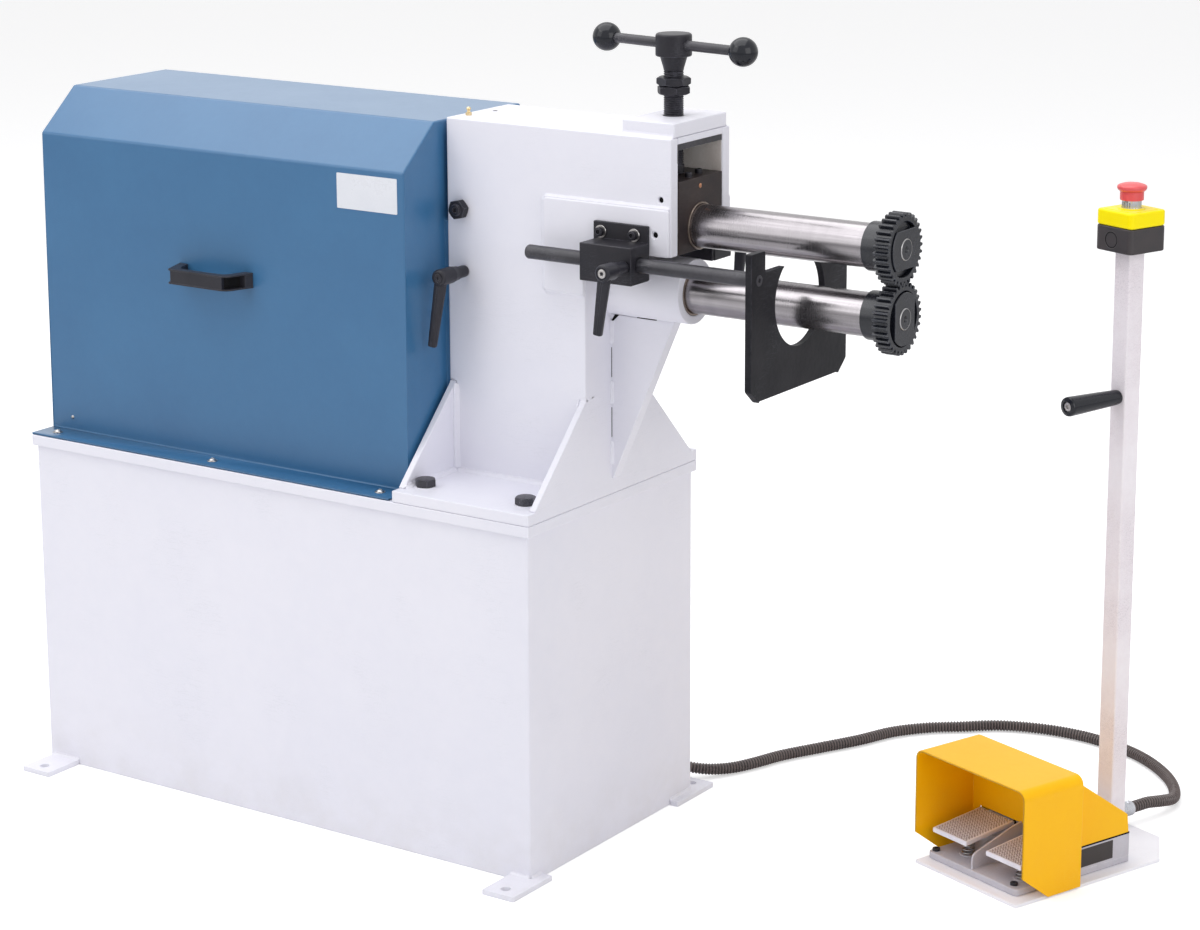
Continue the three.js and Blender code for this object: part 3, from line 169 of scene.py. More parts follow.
def plate(outline, axis, low, high, edge, steps=2, holes=()):
    """An outline carried along an axis, with both rims rounded: ring k is drawn in by
    edge (1 - sin a) at a depth of edge (1 - cos a), as a goes from 0 to a quarter turn. Each hole
    is a circle that runs the other way round, so its rims are drawn in by the same rule. Both ends
    are filled with triangles between the loops' points, of which those stay that lie inside: a line
    from their middle passes an odd number of edges."""
    loops = [anticlockwise(outline)]
    loops += [np.array(centre) + circle(radius, 32)[::-1] for centre, radius in holes]
    a = np.linspace(0, np.pi / 2, steps + 1)
    rim = list(zip(edge * (1 - np.sin(a)), edge * (1 - np.cos(a))))
    layers = [(draw, low + depth) for draw, depth in rim]
    layers += [(draw, high - depth) for draw, depth in rim[::-1]]
    points, faces, edges, rims = [], [], [], [[], []]
    first = begun = 0
    for loop in loops:
        count = len(loop)
        here = np.arange(count)
        ahead = (here + 1) % count
        points += [onto(axis, *inset(loop, draw).T, z) for draw, z in layers]
        row = first + count * np.arange(len(layers) - 1)[:, None]
        corners = [row + here, row + ahead, row + count + ahead, row + count + here]
        faces += np.stack(corners, -1).reshape(-1, 4).tolist()
        edges += [(begun + i, begun + (i + 1) % count) for i in range(count)]
        rims[0].append(first + here)
        rims[1].append(first + here + (len(layers) - 1) * count)
        first += len(layers) * count
        begun += count
    spots = np.concatenate(loops)
    made = delaunay_2d_cdt([Vector(p) for p in spots.tolist()], edges, [], 0, 1e-5, True)
    triangles = np.array([[made[3][v][0] for v in f] for f in made[2]])
    (x, y), (p, q) = np.hsplit(spots[triangles].mean(1), 2), spots[np.array(edges).T]
    rise = np.where(p[:, 1] == q[:, 1], 1, q[:, 1] - p[:, 1])
    crossed = ((p[:, 1] > y) != (q[:, 1] > y)) & (x < p[:, 0] + (q[:, 0] - p[:, 0]) * (y - p[:, 1]) / rise)
    triangles = triangles[crossed.sum(1) % 2 == 1]
    a, b, c = (spots[triangles[:, i]] for i in range(3))
    turn = (b - a)[:, 0] * (c - a)[:, 1] - (b - a)[:, 1] * (c - a)[:, 0]
    triangles[turn < 0] = triangles[turn < 0][:, ::-1]
    bottom, top = (np.concatenate(rim) for rim in rims)
    faces += bottom[triangles[:, ::-1]].tolist() + top[triangles].tolist()
    return outward(np.concatenate(points), faces)


def slab(corners, radius, axis, low, high, edge, steps=2, holes=()):
    """A rectangle (a0, b0, a1, b1) with rounded corners, carried along an axis."""
    return plate(rounded(rectangle(*corners), radius), axis, low, high, edge, steps, holes)


def node_slab(name, axis, radius, edge, steps=2, holes=()):
    """A slab as large as a CAD node."""
    low, high = span(name)
    along = "xyz".index(axis)
    corners = [corner[i] for corner in (low, high) for i in range(3) if i != along]
    return slab(corners, radius, axis, low[along], high[along], edge, steps, holes)


def block(low, high, edge):
    """An upright box between two corners, with all its edges rounded."""
    return plate(rounded(rectangle(*low[:2], *high[:2]), edge, 3), "z", low[2], high[2], edge)


def ringed(axis, at, angle, rings, wrap=False):
    """A surface whose rings share their angles. Each ring is a radius, or a radius for every angle,
    and its place along the axis."""
    return skin([about(axis, at, radius, angle, along) for radius, along in rings], wrap)


def turned(profile, axis, at=(0, 0), count=48, wrap=False):
    """A profile of (radius, place along the axis) carried round the axis at (a, b)."""
    profile = np.asarray(profile, float)
    radius = np.maximum(profile[:, :1], 0.04)
    return skin(about(axis, at, radius, full_turn(count), profile[:, 1:]), wrap)


def placed(profile, start, way=1):
    """A profile moved along its axis to a start, and turned over where way is -1."""
    return [(radius, start + way * along) for radius, along in profile]


def swept(section, path, scale=1.0):
    """A closed section carried along a path. Its first number goes to the path's side, ahead x up,
    and its second upwards, side x ahead. Scale holds one number for each point of the path."""
    ahead = np.gradient(path, axis=0)
    ahead /= np.linalg.norm(ahead, axis=1, keepdims=True)
    side = np.cross(ahead, (0, 0, 1))
    side /= np.linalg.norm(side, axis=1, keepdims=True)
    lift = np.cross(side, ahead)
    scale = np.broadcast_to(np.asarray(scale, float), len(path))[:, None, None]
    offsets = side[:, None] * section[None, :, :1] + lift[:, None] * section[None, :, 1:]
    return skin(path[:, None] + scale * offsets)


def hex_radius(angle, across, turn=0.0):
    """The radius of a hexagon of this width across flats: half the width over the cosine of the
    angle from the middle of the nearest flat."""
    return across / 2 / np.cos((angle - math.radians(turn)) % (np.pi / 3) - np.pi / 6)


def hex_nut(axis, at, base, tip, across, bore=0.0, turn=0.0):
    """A hexagon with the corners of both ends turned off: from a circle just inside the flats, the
    face falls back at 30 degrees until it meets the hexagon. With a bore it is a ring."""
    angle = math.radians(turn) + full_turn(72)
    corner = hex_radius(angle, across, turn)
    start, centre = across / 2 * 0.96, max(bore, 0.05)
    fall = (corner - start) * math.tan(math.radians(30)) * np.sign(tip - base)
    rings = [(centre, base), (start, base), (corner, base + fall), (corner, tip - fall), (start, tip)]
    if bore:
        lip = min(0.8, (across / 2 - bore) / 3) * np.sign(tip - base)
        rings += [(centre + abs(lip), tip), (centre, tip - lip)]
    else:
        rings += [(centre, tip)]
    return ringed(axis, at, angle, rings, bool(bore))


def socket_screw(axis, at, base, tip, radius, socket, depth, dome):
    """A round screw head with a hexagon socket: a turned rim, then the hexagon's ring at the
    face and again at the socket's floor."""
    way = np.sign(tip - base)
    angle = full_turn(48)
    hexagon = hex_radius(angle, socket)
    bend = radius * dome
    rings = [(0.05, base), (radius, base), (radius, tip - way * bend),
             (radius - bend * 0.3, tip - way * bend * 0.3), (radius - bend, tip), (hexagon + 0.25, tip),
             (hexagon, tip - way * 0.3), (hexagon, tip - way * depth), (0.05, tip - way * (depth + 0.6))]
    return ringed(axis, at, angle, rings)


def cross_screw(axis, at, base, tip, radius):
    """A domed screw head with a cross recess: its height falls by r^2, and by the cross's depth
    where the point lies within one of the two slots."""
    way = np.sign(tip - base)
    angle = full_turn(48)[None, :]
    share = np.array([1, 1, 0.96, 0.85, 0.7, 0.6, 0.5, 0.38, 0.26, 0.14, 0.02])[:, None]
    r = share * radius
    x, y = np.abs(r * np.cos(angle)), np.abs(r * np.sin(angle))
    slot = (np.minimum(x, y) < radius * 0.12) & (np.maximum(x, y) < radius * 0.55)
    height = tip - way * (abs(tip - base) * 0.6 * share ** 2 + slot * abs(tip - base) * 0.5)
    height[0] = base
    return skin(about(axis, at, r, angle, height))


def fillet(path, a, b, size, seed):
    """A weld bead in a corner: a hollow quarter round from way a to way b at each point of a straight
    path, its back sunk into the corner. Its size swells and falls by two sines along the path."""
    start, end = np.asarray(path, float)
    length = np.linalg.norm(end - start)
    t = np.linspace(0, 1, max(int(length / 2.5), 8))
    line = start + t[:, None] * (end - start)
    ends = np.clip(np.minimum(t, 1 - t) * length / 3, 0.25, 1) ** 0.5
    swell = size * ends * (1 + 0.05 * np.sin(t * length / 2.6 + seed) + 0.04 * np.sin(t * length / 11 + seed))
    turn = np.linspace(0, np.pi / 2, 6)[1:]
    sunk, hollow = -0.12, 0.78
    x = [sunk, 1.0, *(1 - hollow * np.sin(turn)), sunk]
    y = [sunk, sunk, *(1 - hollow * np.cos(turn)), 1.0]
    return skin(line[:, None] + swell[:, None, None] * (np.outer(x, a) + np.outer(y, b))[None])


def turn_about(shell, centre, degrees):
    """Turns a shell about the upright axis and moves it to a centre."""
    c, s = math.cos(math.radians(degrees)), math.sin(math.radians(degrees))
    return shell[0] @ np.array([[c, s, 0], [-s, c, 0], [0, 0, 1]]) + np.asarray(centre, float), shell[1]


STAND_AT, STAND_TURN = (1067, 85.3, 0), -20


def on_stand(*shells):
    """Shells drawn in the stand's own (u, w, z), turned onto the floor where it lies."""
    return [turn_about(shell, STAND_AT, STAND_TURN) for shell in shells]


def mirrored(shells):
    """The same shells on the machine's other side: y changes sign, and the faces turn over."""
    return [(points * (1, -1, 1), [f[::-1] for f in faces]) for points, faces in shells]


def on_side(shells, way):
    """Shells drawn on the front: as they are where way is -1, and at the back where it is 1."""
    return mirrored(shells) if way > 0 else shells


# Pieces

def put(name, shells, look, body="frame", replaces=(), sharp=38):
    """Makes one piece from its shells, with its faces smooth up to the sharp angle."""
    counts = np.cumsum([0] + [len(points) for points, _ in shells])
    points = np.concatenate([points for points, _ in shells]) * MM
    faces = [[i + start for i in f] for (_, part), start in zip(shells, counts) for f in part]
    mesh = bpy.data.meshes.new(name)
    mesh.from_pydata(points, [], faces)
    mesh.set_sharp_from_angle(angle=math.radians(sharp))
    return dress(name, mesh, look, body, replaces)


def dress(name, mesh, look, body, replaces, fold=0.0, wall=0.0, limit=30):
    """Links a mesh as a piece, smooths it, rounds its folds and gives it a wall if asked, gives it its
    finish and its body, and hides the CAD node that it stands for."""
    mesh.polygons.foreach_set("use_smooth", np.ones(len(mesh.polygons), bool))
    mesh.materials.append(FINISHES[look])
    piece = bpy.data.objects.new(name, mesh)
    bpy.context.scene.collection.objects.link(piece)
    if fold:
        rim = piece.modifiers.new("rounded_folds", "BEVEL")
        rim.width, rim.segments, rim.limit_method = fold * MM, 3, "ANGLE"
        rim.angle_limit = math.radians(limit)
    if wall:
        sheet = piece.modifiers.new("sheet_wall", "SOLIDIFY")
        sheet.thickness, sheet.offset, sheet.use_even_offset = wall * MM, -1, True
    piece.modifiers.new("flat_faces", "WEIGHTED_NORMAL").keep_sharp = True
    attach(piece, body)
    if replaces:
        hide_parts(replaces)
    return piece


def painted_hollow_shade(piece, share):
    """Stores how much painted shade lies at the first points of a piece, which its finish reads."""
    layer = piece.data.attributes.new("painted_hollow_shade", "FLOAT", "POINT")
    layer.data.foreach_set("value", np.pad(np.ravel(share), (0, len(piece.data.vertices) - np.size(share))))


def put_sheet(name, points, faces, wall, fold, look, replaces, limit=30):
    """A folded sheet from the corners and faces of its outer side: the faces are turned outwards,
    the folds rounded, and the wall laid on the inside."""
    mesh = bpy.data.meshes.new(name)
    mesh.from_pydata(np.asarray(points, float) * MM, [], faces)
    work = bmesh.new()
    work.from_mesh(mesh)
    bmesh.ops.recalc_face_normals(work, faces=work.faces)
    middle = sum((vertex.co for vertex in work.verts), Vector()) / len(work.verts)
    if sum(face.normal.dot(face.calc_center_median() - middle) * face.calc_area() for face in work.faces) < 0:
        bmesh.ops.reverse_faces(work, faces=work.faces)
    work.to_mesh(mesh)
    work.free()
    return dress(name, mesh, look, "frame", replaces, fold, wall, limit)


def finish_node(name, look):
    """Gives a carried-over CAD node its finish."""
    piece = frame["nodes"][name]
    if not piece.material_slots:
        piece.data.materials.append(FINISHES[look])
    for slot in piece.material_slots:
        slot.link = "OBJECT"
        slot.material = FINISHES[look]


# Finishes

def feed(tree, made, inputs):
    """Gives a shader node's inputs their values, and links those that are given a socket."""
    for key, value in dict(inputs).items():
        if isinstance(value, bpy.types.NodeSocket):
            tree.links.new(value, made.inputs[key])
        else:
            made.inputs[key].default_value = value


def node(tree, kind, inputs=(), **settings):
    """Adds a shader node with its settings and its inputs."""
    made = tree.nodes.new("ShaderNode" + kind)
    for key, value in settings.items():
        setattr(made, key, value)
    feed(tree, made, inputs)
    return made


def effect(name, inputs, outputs):
    """Starts a shader node group with named inputs and outputs."""
    tree = bpy.data.node_groups.new(name, "ShaderNodeTree")
    for label, (kind, value) in inputs.items():
        socket = tree.interface.new_socket(label, in_out="INPUT", socket_type="NodeSocket" + kind)
        socket.default_value = value
    for label, kind in outputs.items():
        tree.interface.new_socket(label, in_out="OUTPUT", socket_type="NodeSocket" + kind)
    return tree, tree.nodes.new("NodeGroupInput").outputs, tree.nodes.new("NodeGroupOutput").inputs


def place(tree, given):
    """The object's own coordinates times a scale."""
    here = node(tree, "TexCoord").outputs["Object"]
    return node(tree, "VectorMath", {0: here, "Scale": given}, operation="SCALE").outputs[0]


def noise(tree, where, scale, detail=3.0, rough=0.5):
    """The value of a noise texture at a place."""
    settings = {"Vector": where, "Scale": scale, "Detail": detail, "Roughness": rough}
    return node(tree, "TexNoise", settings).outputs["Fac"]


def spread(tree, value, low, high, to_low=0.0, to_high=1.0):
    """Maps a value from one range onto another and clamps it."""
    return node(tree, "MapRange", {"Value": value, "From Min": low, "From Max": high,
                                   "To Min": to_low, "To Max": to_high}).outputs[0]


def times(tree, a, b, kind="MULTIPLY"):
    """Two values multiplied, or joined by another kind of sum."""
    return node(tree, "Math", {0: a, 1: b}, operation=kind).outputs[0]


def blended(tree, share, a, b):
    """Colour a with a share of colour b mixed in."""
    return node(tree, "Mix", {0: share, 6: a, 7: b}, data_type="RGBA").outputs[2]


def make_cloudy_tone():
    """Slow drifts of tone over a surface, and a fainter, finer drift in them."""
    tree, given, out = effect("cloudy_tone", {
        "Colour": ("Color", (1, 1, 1, 1)), "Second": ("Color", (0, 0, 0, 1)), "Scale": ("Float", 1.0),
        "Amount": ("Float", 0.5)}, {"Colour": "Color", "Mask": "Float"})
    where = place(tree, given["Scale"])
    slow, fine = noise(tree, where, 3.0, 4.0), noise(tree, where, 31.0, 3.0, 0.7)
    mask = spread(tree, times(tree, slow, times(tree, fine, 0.45), "ADD"), 0.55, 0.95)
    share = times(tree, mask, given["Amount"])
    tree.links.new(blended(tree, share, given["Colour"], given["Second"]), out["Colour"])
    tree.links.new(mask, out["Mask"])
    return tree


def make_sprayed_skin():
    """The skin of sprayed or powder paint: a soft ripple with a finer grain on it."""
    tree, given, out = effect("sprayed_skin", {"Ripple": ("Float", 120.0), "Grain": ("Float", 1200.0),
                                               "Grain Share": ("Float", 0.3)}, {"Height": "Float"})
    where = place(tree, 1.0)
    ripple, grain = noise(tree, where, given["Ripple"], 2.0), noise(tree, where, given["Grain"], 2.0)
    mixed = node(tree, "Mix", {0: given["Grain Share"], 2: ripple, 3: grain}).outputs[0]
    tree.links.new(mixed, out["Height"])
    return tree


def make_rubbed_edges():
    """Where a surface turns: one minus the dot product of the plain and the rounded normal,
    broken up by noise."""
    tree, given, out = effect("rubbed_edges", {"Radius": ("Float", 0.0015), "Scale": ("Float", 60.0)},
                              {"Mask": "Float"})
    plain = node(tree, "NewGeometry").outputs["Normal"]
    soft = node(tree, "Bevel", {"Radius": given["Radius"]}, samples=4).outputs[0]
    dot = node(tree, "VectorMath", {0: plain, 1: soft}, operation="DOT_PRODUCT").outputs["Value"]
    edge = spread(tree, dot, 0.995, 0.88)
    patches = spread(tree, noise(tree, place(tree, 1.0), given["Scale"], 4.0, 0.65), 0.38, 0.62)
    tree.links.new(times(tree, edge, patches), out["Mask"])
    return tree


def make_fine_scratches():
    """Thin scratches: two noises, each drawn out along one way, cut to lines at their middle value."""
    tree, given, out = effect("fine_scratches", {"Scale": ("Float", 40.0), "Width": ("Float", 0.02)},
                              {"Mask": "Float"})
    here = node(tree, "TexCoord").outputs["Object"]
    total = None
    for turn, stretch in (((0.3, 0.5, 0.2), (1, 14, 9)), ((0.9, 0.2, 1.1), (12, 1, 10))):
        where = node(tree, "Mapping", {"Vector": here, "Rotation": turn, "Scale": stretch}).outputs[0]
        from_middle = times(tree, noise(tree, where, given["Scale"], 2.0), 0.5, "SUBTRACT")
        near = node(tree, "Math", {0: from_middle}, operation="ABSOLUTE").outputs[0]
        line = spread(tree, near, 0.0, given["Width"], 1.0, 0.0)
        total = line if total is None else times(tree, total, line, "MAXIMUM")
    patch = spread(tree, noise(tree, here, 9.0, 2.0), 0.5, 0.68)
    tree.links.new(times(tree, total, patch), out["Mask"])
    return tree


def make_turned_lines():
    """Fine rings left by turning or grinding about the X axis: noise that changes only along X,
    with a slower banding."""
    tree, given, out = effect("turned_lines", {"Pitch": ("Float", 900.0)},
                              {"Height": "Float", "Bands": "Float"})
    x = node(tree, "SeparateXYZ", {0: node(tree, "TexCoord").outputs["Object"]}).outputs[0]
    where = node(tree, "CombineXYZ", {0: x}).outputs[0]
    tree.links.new(noise(tree, where, given["Pitch"], 3.0, 0.7), out["Height"])
    tree.links.new(noise(tree, where, 45.0, 3.0, 0.6), out["Bands"])
    return tree


def make_floor_dust():
    """Dust and grey scuffs that gather near the floor: a noise that fades with height."""
    tree, given, out = effect("floor_dust", {"Height": ("Float", 0.12)}, {"Mask": "Float"})
    here = node(tree, "TexCoord").outputs["Object"]
    z = node(tree, "SeparateXYZ", {0: here}).outputs[2]
    low = spread(tree, z, 0.0, given["Height"], 1.0, 0.0)
    patches = spread(tree, noise(tree, here, 14.0, 6.0, 0.65), 0.42, 0.75)
    tree.links.new(times(tree, low, patches), out["Mask"])
    return tree


def make_streaks_and_painted_reflections():
    """Long streaks down a bar along X, partly grinding and partly painted reflections: noise over Y and Z,
    drawn out forty times along X.
    """
    tree, given, out = effect("streaks_and_painted_reflections", {"Scale": ("Float", 70.0)}, {"Mask": "Float"})
    here = node(tree, "TexCoord").outputs["Object"]
    where = node(tree, "Mapping", {"Vector": here, "Scale": (0.025, 1, 1)}).outputs[0]
    tree.links.new(spread(tree, noise(tree, where, given["Scale"], 3.0, 0.6), 0.36, 0.66), out["Mask"])
    return tree


EFFECTS = {made.name: made for made in (
    make_cloudy_tone(), make_sprayed_skin(), make_rubbed_edges(), make_fine_scratches(), make_turned_lines(),
    make_floor_dust(), make_streaks_and_painted_reflections())}


def srgb(red, green, blue):
    """A colour as it shows, from 0 to 255, in the linear numbers that the shader takes."""
    value = np.array([red, green, blue]) / 255
    return (*np.where(value <= 0.04045, value / 12.92, ((value + 0.055) / 1.055) ** 2.4), 1.0)


def placed_effect(tree, name, **values):
    """Adds an effect's group. An underscore stands for a space in an input's name."""
    group = node(tree, "Group", node_tree=EFFECTS[name])
    feed(tree, group, {key.replace("_", " "): value for key, value in values.items()})
    return group.outputs


def finish(name, colour, second, rough, metallic=0.0, tone=2.0, amount=0.5, ripple=120.0, grain=1200.0,
           grain_share=0.3, bump=0.1, depth=0.0004, rubbed=None, rubbed_radius=0.0015, scratched=None,
           scratch_scale=40.0, dusty=None, turned_pitch=None, streak_and_reflection_colour=None, painted_shade_colour=None, coat=0.0,
           specular=0.5, rough_drift=0.08):
    """One finish. Its colours are as they show, from 0 to 255. The first drifts towards the second,
    with painted shade in hollows, streaks that are partly painted reflections, dust, scratches or rubbed
    edges over it where their colour is given, and its skin or turning lines feed a bump."""
    colour, second = srgb(*colour), srgb(*second)
    material = bpy.data.materials.new(name + "_finish")
    material.use_nodes = True
    tree = material.node_tree
    tones = placed_effect(tree, "cloudy_tone", Colour=colour, Second=second, Scale=tone, Amount=amount)
    paint, mask = tones["Colour"], tones["Mask"]
    roughness = spread(tree, mask, 0.0, 1.0, rough - rough_drift / 2, rough + rough_drift / 2)
    if turned_pitch:
        lines = placed_effect(tree, "turned_lines", Pitch=turned_pitch)
        height = lines["Height"]
        paint = blended(tree, spread(tree, lines["Bands"], 0.35, 0.75, 0.0, 0.55), paint, second)
        roughness = times(tree, roughness, spread(tree, height, 0.3, 0.7, -0.05, 0.07), "ADD")
    else:
        height = placed_effect(tree, "sprayed_skin", Ripple=ripple, Grain=grain,
                               Grain_Share=grain_share)["Height"]
    # Painted shade, darkest in the hollows that the piece marks.
    if painted_shade_colour:
        share = node(tree, "Attribute", attribute_name="painted_hollow_shade").outputs["Fac"]
        paint = blended(tree, times(tree, share, 0.85), paint, srgb(*painted_shade_colour))
    # Streaks along a bar, partly painted reflections: darker bands round it.
    if streak_and_reflection_colour:
        streaks = placed_effect(tree, "streaks_and_painted_reflections")["Mask"]
        paint = blended(tree, times(tree, streaks, 0.7), paint, srgb(*streak_and_reflection_colour))
        roughness = times(tree, roughness, times(tree, streaks, 0.06), "ADD")
    if dusty:
        dust = placed_effect(tree, "floor_dust")["Mask"]
        paint = blended(tree, times(tree, dust, 0.5), paint, srgb(*dusty))
    if scratched:
        lines = placed_effect(tree, "fine_scratches", Scale=scratch_scale)["Mask"]
        paint = blended(tree, times(tree, lines, 0.6), paint, srgb(*scratched))
        roughness = times(tree, roughness, times(tree, lines, 0.12), "ADD")
    if rubbed:
        edges = placed_effect(tree, "rubbed_edges", Radius=rubbed_radius)["Mask"]
        paint = blended(tree, times(tree, edges, 0.75), paint, srgb(*rubbed))
    relief = node(tree, "Bump", {"Height": height, "Strength": bump, "Distance": depth})
    feed(tree, tree.nodes["Principled BSDF"], {
        "Base Color": paint, "Metallic": metallic, "Roughness": roughness, "Normal": relief.outputs[0],
        "Coat Weight": coat, "Coat Roughness": 0.3, "Specular IOR Level": specular})
    return material


FINISHES = {made.name.removesuffix("_finish"): made for made in (
    finish("machine_paint", (232, 231, 240), (225, 225, 236), 0.42, tone=1.2, amount=0.6, ripple=95,
           bump=0.08, depth=0.0006, dusty=(214, 211, 213), scratched=(220, 220, 229), scratch_scale=22,
           specular=0.3),
    finish("plate_paint", (246, 245, 251), (240, 239, 246), 0.42, tone=2.0, amount=0.6, ripple=110,
           bump=0.08, scratched=(226, 224, 230), scratch_scale=26),
    finish("station_paint", (240, 235, 240), (226, 215, 222), 0.42, tone=3.0, amount=0.55, ripple=140,
           bump=0.1, dusty=(206, 198, 200), scratched=(190, 182, 190), scratch_scale=30,
           rubbed=(206, 196, 202)),
    finish("cover_paint", (58, 109, 152), (53, 102, 145), 0.38, tone=2.2, amount=0.7, ripple=520,
           grain=1500, grain_share=0.5, bump=0.24, specular=0.05, coat=1.0),
    finish("black_steel", (33, 33, 40), (46, 43, 48), 0.40, metallic=0.2, tone=7.0, amount=0.7,
           ripple=260, bump=0.16, rubbed=(118, 118, 130), scratched=(100, 100, 110), specular=0.34),
    finish("oily_block", (46, 40, 42), (66, 54, 51), 0.38, metallic=0.2, tone=7.0, amount=0.8, ripple=240,
           bump=0.2, rubbed=(96, 90, 88), scratched=(78, 72, 72), specular=0.2),
    # Bare steel made near-white: partly painted light, lifting guides that lie in the head's shade.
    finish("bare_guide", (244, 238, 234), (214, 204, 198), 0.40, tone=8.0, amount=0.8, ripple=400,
           bump=0.2, scratched=(196, 188, 184)),
    finish("forged_steel", (42, 42, 48), (66, 64, 70), 0.36, metallic=0.2, tone=9.0, amount=0.8,
           ripple=150, grain=700, bump=0.5, depth=0.0008, scratched=(150, 148, 156), scratch_scale=45,
           rubbed=(108, 106, 114), specular=0.5),
    finish("scaled_plate", (26, 26, 31), (46, 45, 49), 0.46, metallic=0.2, tone=7.0, amount=0.8,
           ripple=110, grain=800, bump=0.5, depth=0.0007, scratched=(92, 92, 100), scratch_scale=30,
           rubbed=(84, 84, 92), specular=0.16),
    finish("phosphated_roll", (22, 24, 32), (32, 35, 44), 0.27, metallic=0.1, tone=9.0, amount=0.6,
           ripple=420, bump=0.10, rubbed=(112, 116, 130), rubbed_radius=0.0008, specular=0.6),
    # Its streak colour is partly painted reflections of darker surroundings.
    finish("ground_steel", (172, 168, 171), (150, 146, 149), 0.20, metallic=1.0, tone=3.0, amount=0.4,
           turned_pitch=900.0, bump=0.10, depth=0.0002, rough_drift=0.06, streak_and_reflection_colour=(112, 108, 112)),
    finish("plain_steel", (176, 175, 176), (140, 136, 132), 0.34, metallic=1.0, tone=9.0, amount=0.6,
           ripple=500, bump=0.08, scratched=(205, 205, 206)),
    finish("zinc_screw", (200, 198, 198), (158, 152, 148), 0.30, metallic=1.0, tone=14.0, amount=0.7,
           ripple=600, bump=0.06),
    finish("brass", (228, 210, 168), (184, 158, 112), 0.30, metallic=1.0, tone=14.0, amount=0.6,
           ripple=600, bump=0.06),
    finish("copper", (204, 150, 116), (140, 92, 74), 0.38, metallic=1.0, tone=20.0, amount=0.7,
           ripple=600, bump=0.08),
    finish("oiled_bush", (160, 148, 140), (112, 96, 84), 0.34, metallic=1.0, tone=14.0, amount=0.8,
           ripple=500, bump=0.1),
    finish("black_plastic", (38, 38, 45), (47, 46, 53), 0.38, tone=10.0, amount=0.6, ripple=900,
           grain=2600, grain_share=0.6, bump=0.12, depth=0.0002, rubbed=(78, 78, 90),
           rubbed_radius=0.0008, specular=0.3),
    finish("polished_plastic", (24, 26, 33), (31, 33, 41), 0.16, tone=10.0, amount=0.5, ripple=300,
           bump=0.03, depth=0.0002, specular=0.35),
    finish("box_plastic", (48, 45, 48), (64, 56, 57), 0.46, tone=8.0, amount=0.7, ripple=1100, grain=2600,
           grain_share=0.6, bump=0.15, depth=0.0002, rubbed=(98, 92, 94), rubbed_radius=0.001),
    # Near-black for holes, pockets, grooves and open seams: painted shade.
    finish("dark_recess", (14, 14, 16), (26, 24, 24), 0.7, tone=9.0, amount=0.6, ripple=500, bump=0.1,
           specular=0.12),
    finish("motor_paint", (96, 106, 114), (80, 88, 96), 0.5, metallic=0.1, tone=4.0, ripple=300, bump=0.2,
           rubbed=(150, 156, 160)),
    finish("guard_yellow", (254, 192, 2), (250, 182, 0), 0.36, tone=3.0, amount=0.6, ripple=210,
           bump=0.12, scratched=(254, 200, 50), scratch_scale=26, rubbed=(255, 212, 84), specular=0.1,
           coat=0.3),
    finish("lid_yellow", (255, 236, 0), (255, 226, 0), 0.32, tone=6.0, amount=0.5, ripple=700, grain=2200,
           bump=0.06, depth=0.0002, specular=0.2),
    # Its third colour is painted shade between the pedal's studs.
    finish("pedal_grey", (236, 235, 246), (220, 218, 228), 0.48, tone=7.0, amount=0.8, ripple=420,
           grain=1500, grain_share=0.5, bump=0.3, rubbed=(234, 232, 238), scratched=(224, 221, 228),
           painted_shade_colour=(96, 84, 86)),
    finish("cast_grey", (196, 193, 202), (182, 179, 187), 0.46, tone=7.0, amount=0.8, ripple=420,
           grain=1500, grain_share=0.5, bump=0.3, rubbed=(226, 224, 230), scratched=(212, 209, 217)),
    finish("red_plastic", (228, 86, 90), (214, 66, 72), 0.34, tone=8.0, amount=0.6, ripple=900,
           grain=2200, bump=0.06, depth=0.0002, scratched=(238, 150, 152), coat=0.3),
    finish("nickel", (206, 208, 214), (168, 170, 178), 0.20, metallic=1.0, tone=10.0, amount=0.6,
           ripple=500, bump=0.05),
    # Its third colour is near-black painted shade in the hose's grooves.
    finish("hose_rubber", (92, 80, 79), (110, 97, 94), 0.30, tone=9.0, amount=0.8, ripple=700, bump=0.15,
           painted_shade_colour=(16, 14, 14), specular=0.5),
    finish("plain_label", (224, 226, 233), (214, 217, 225), 0.30, tone=6.0, amount=0.5, ripple=500,
           bump=0.03, scratched=(214, 217, 224)),
    finish("dark_label", (52, 48, 48), (66, 60, 60), 0.36, metallic=0.3, tone=8.0, amount=0.6, ripple=500,
           bump=0.05, rubbed=(150, 146, 146), rubbed_radius=0.0006),
)}


# Cabinet and cover

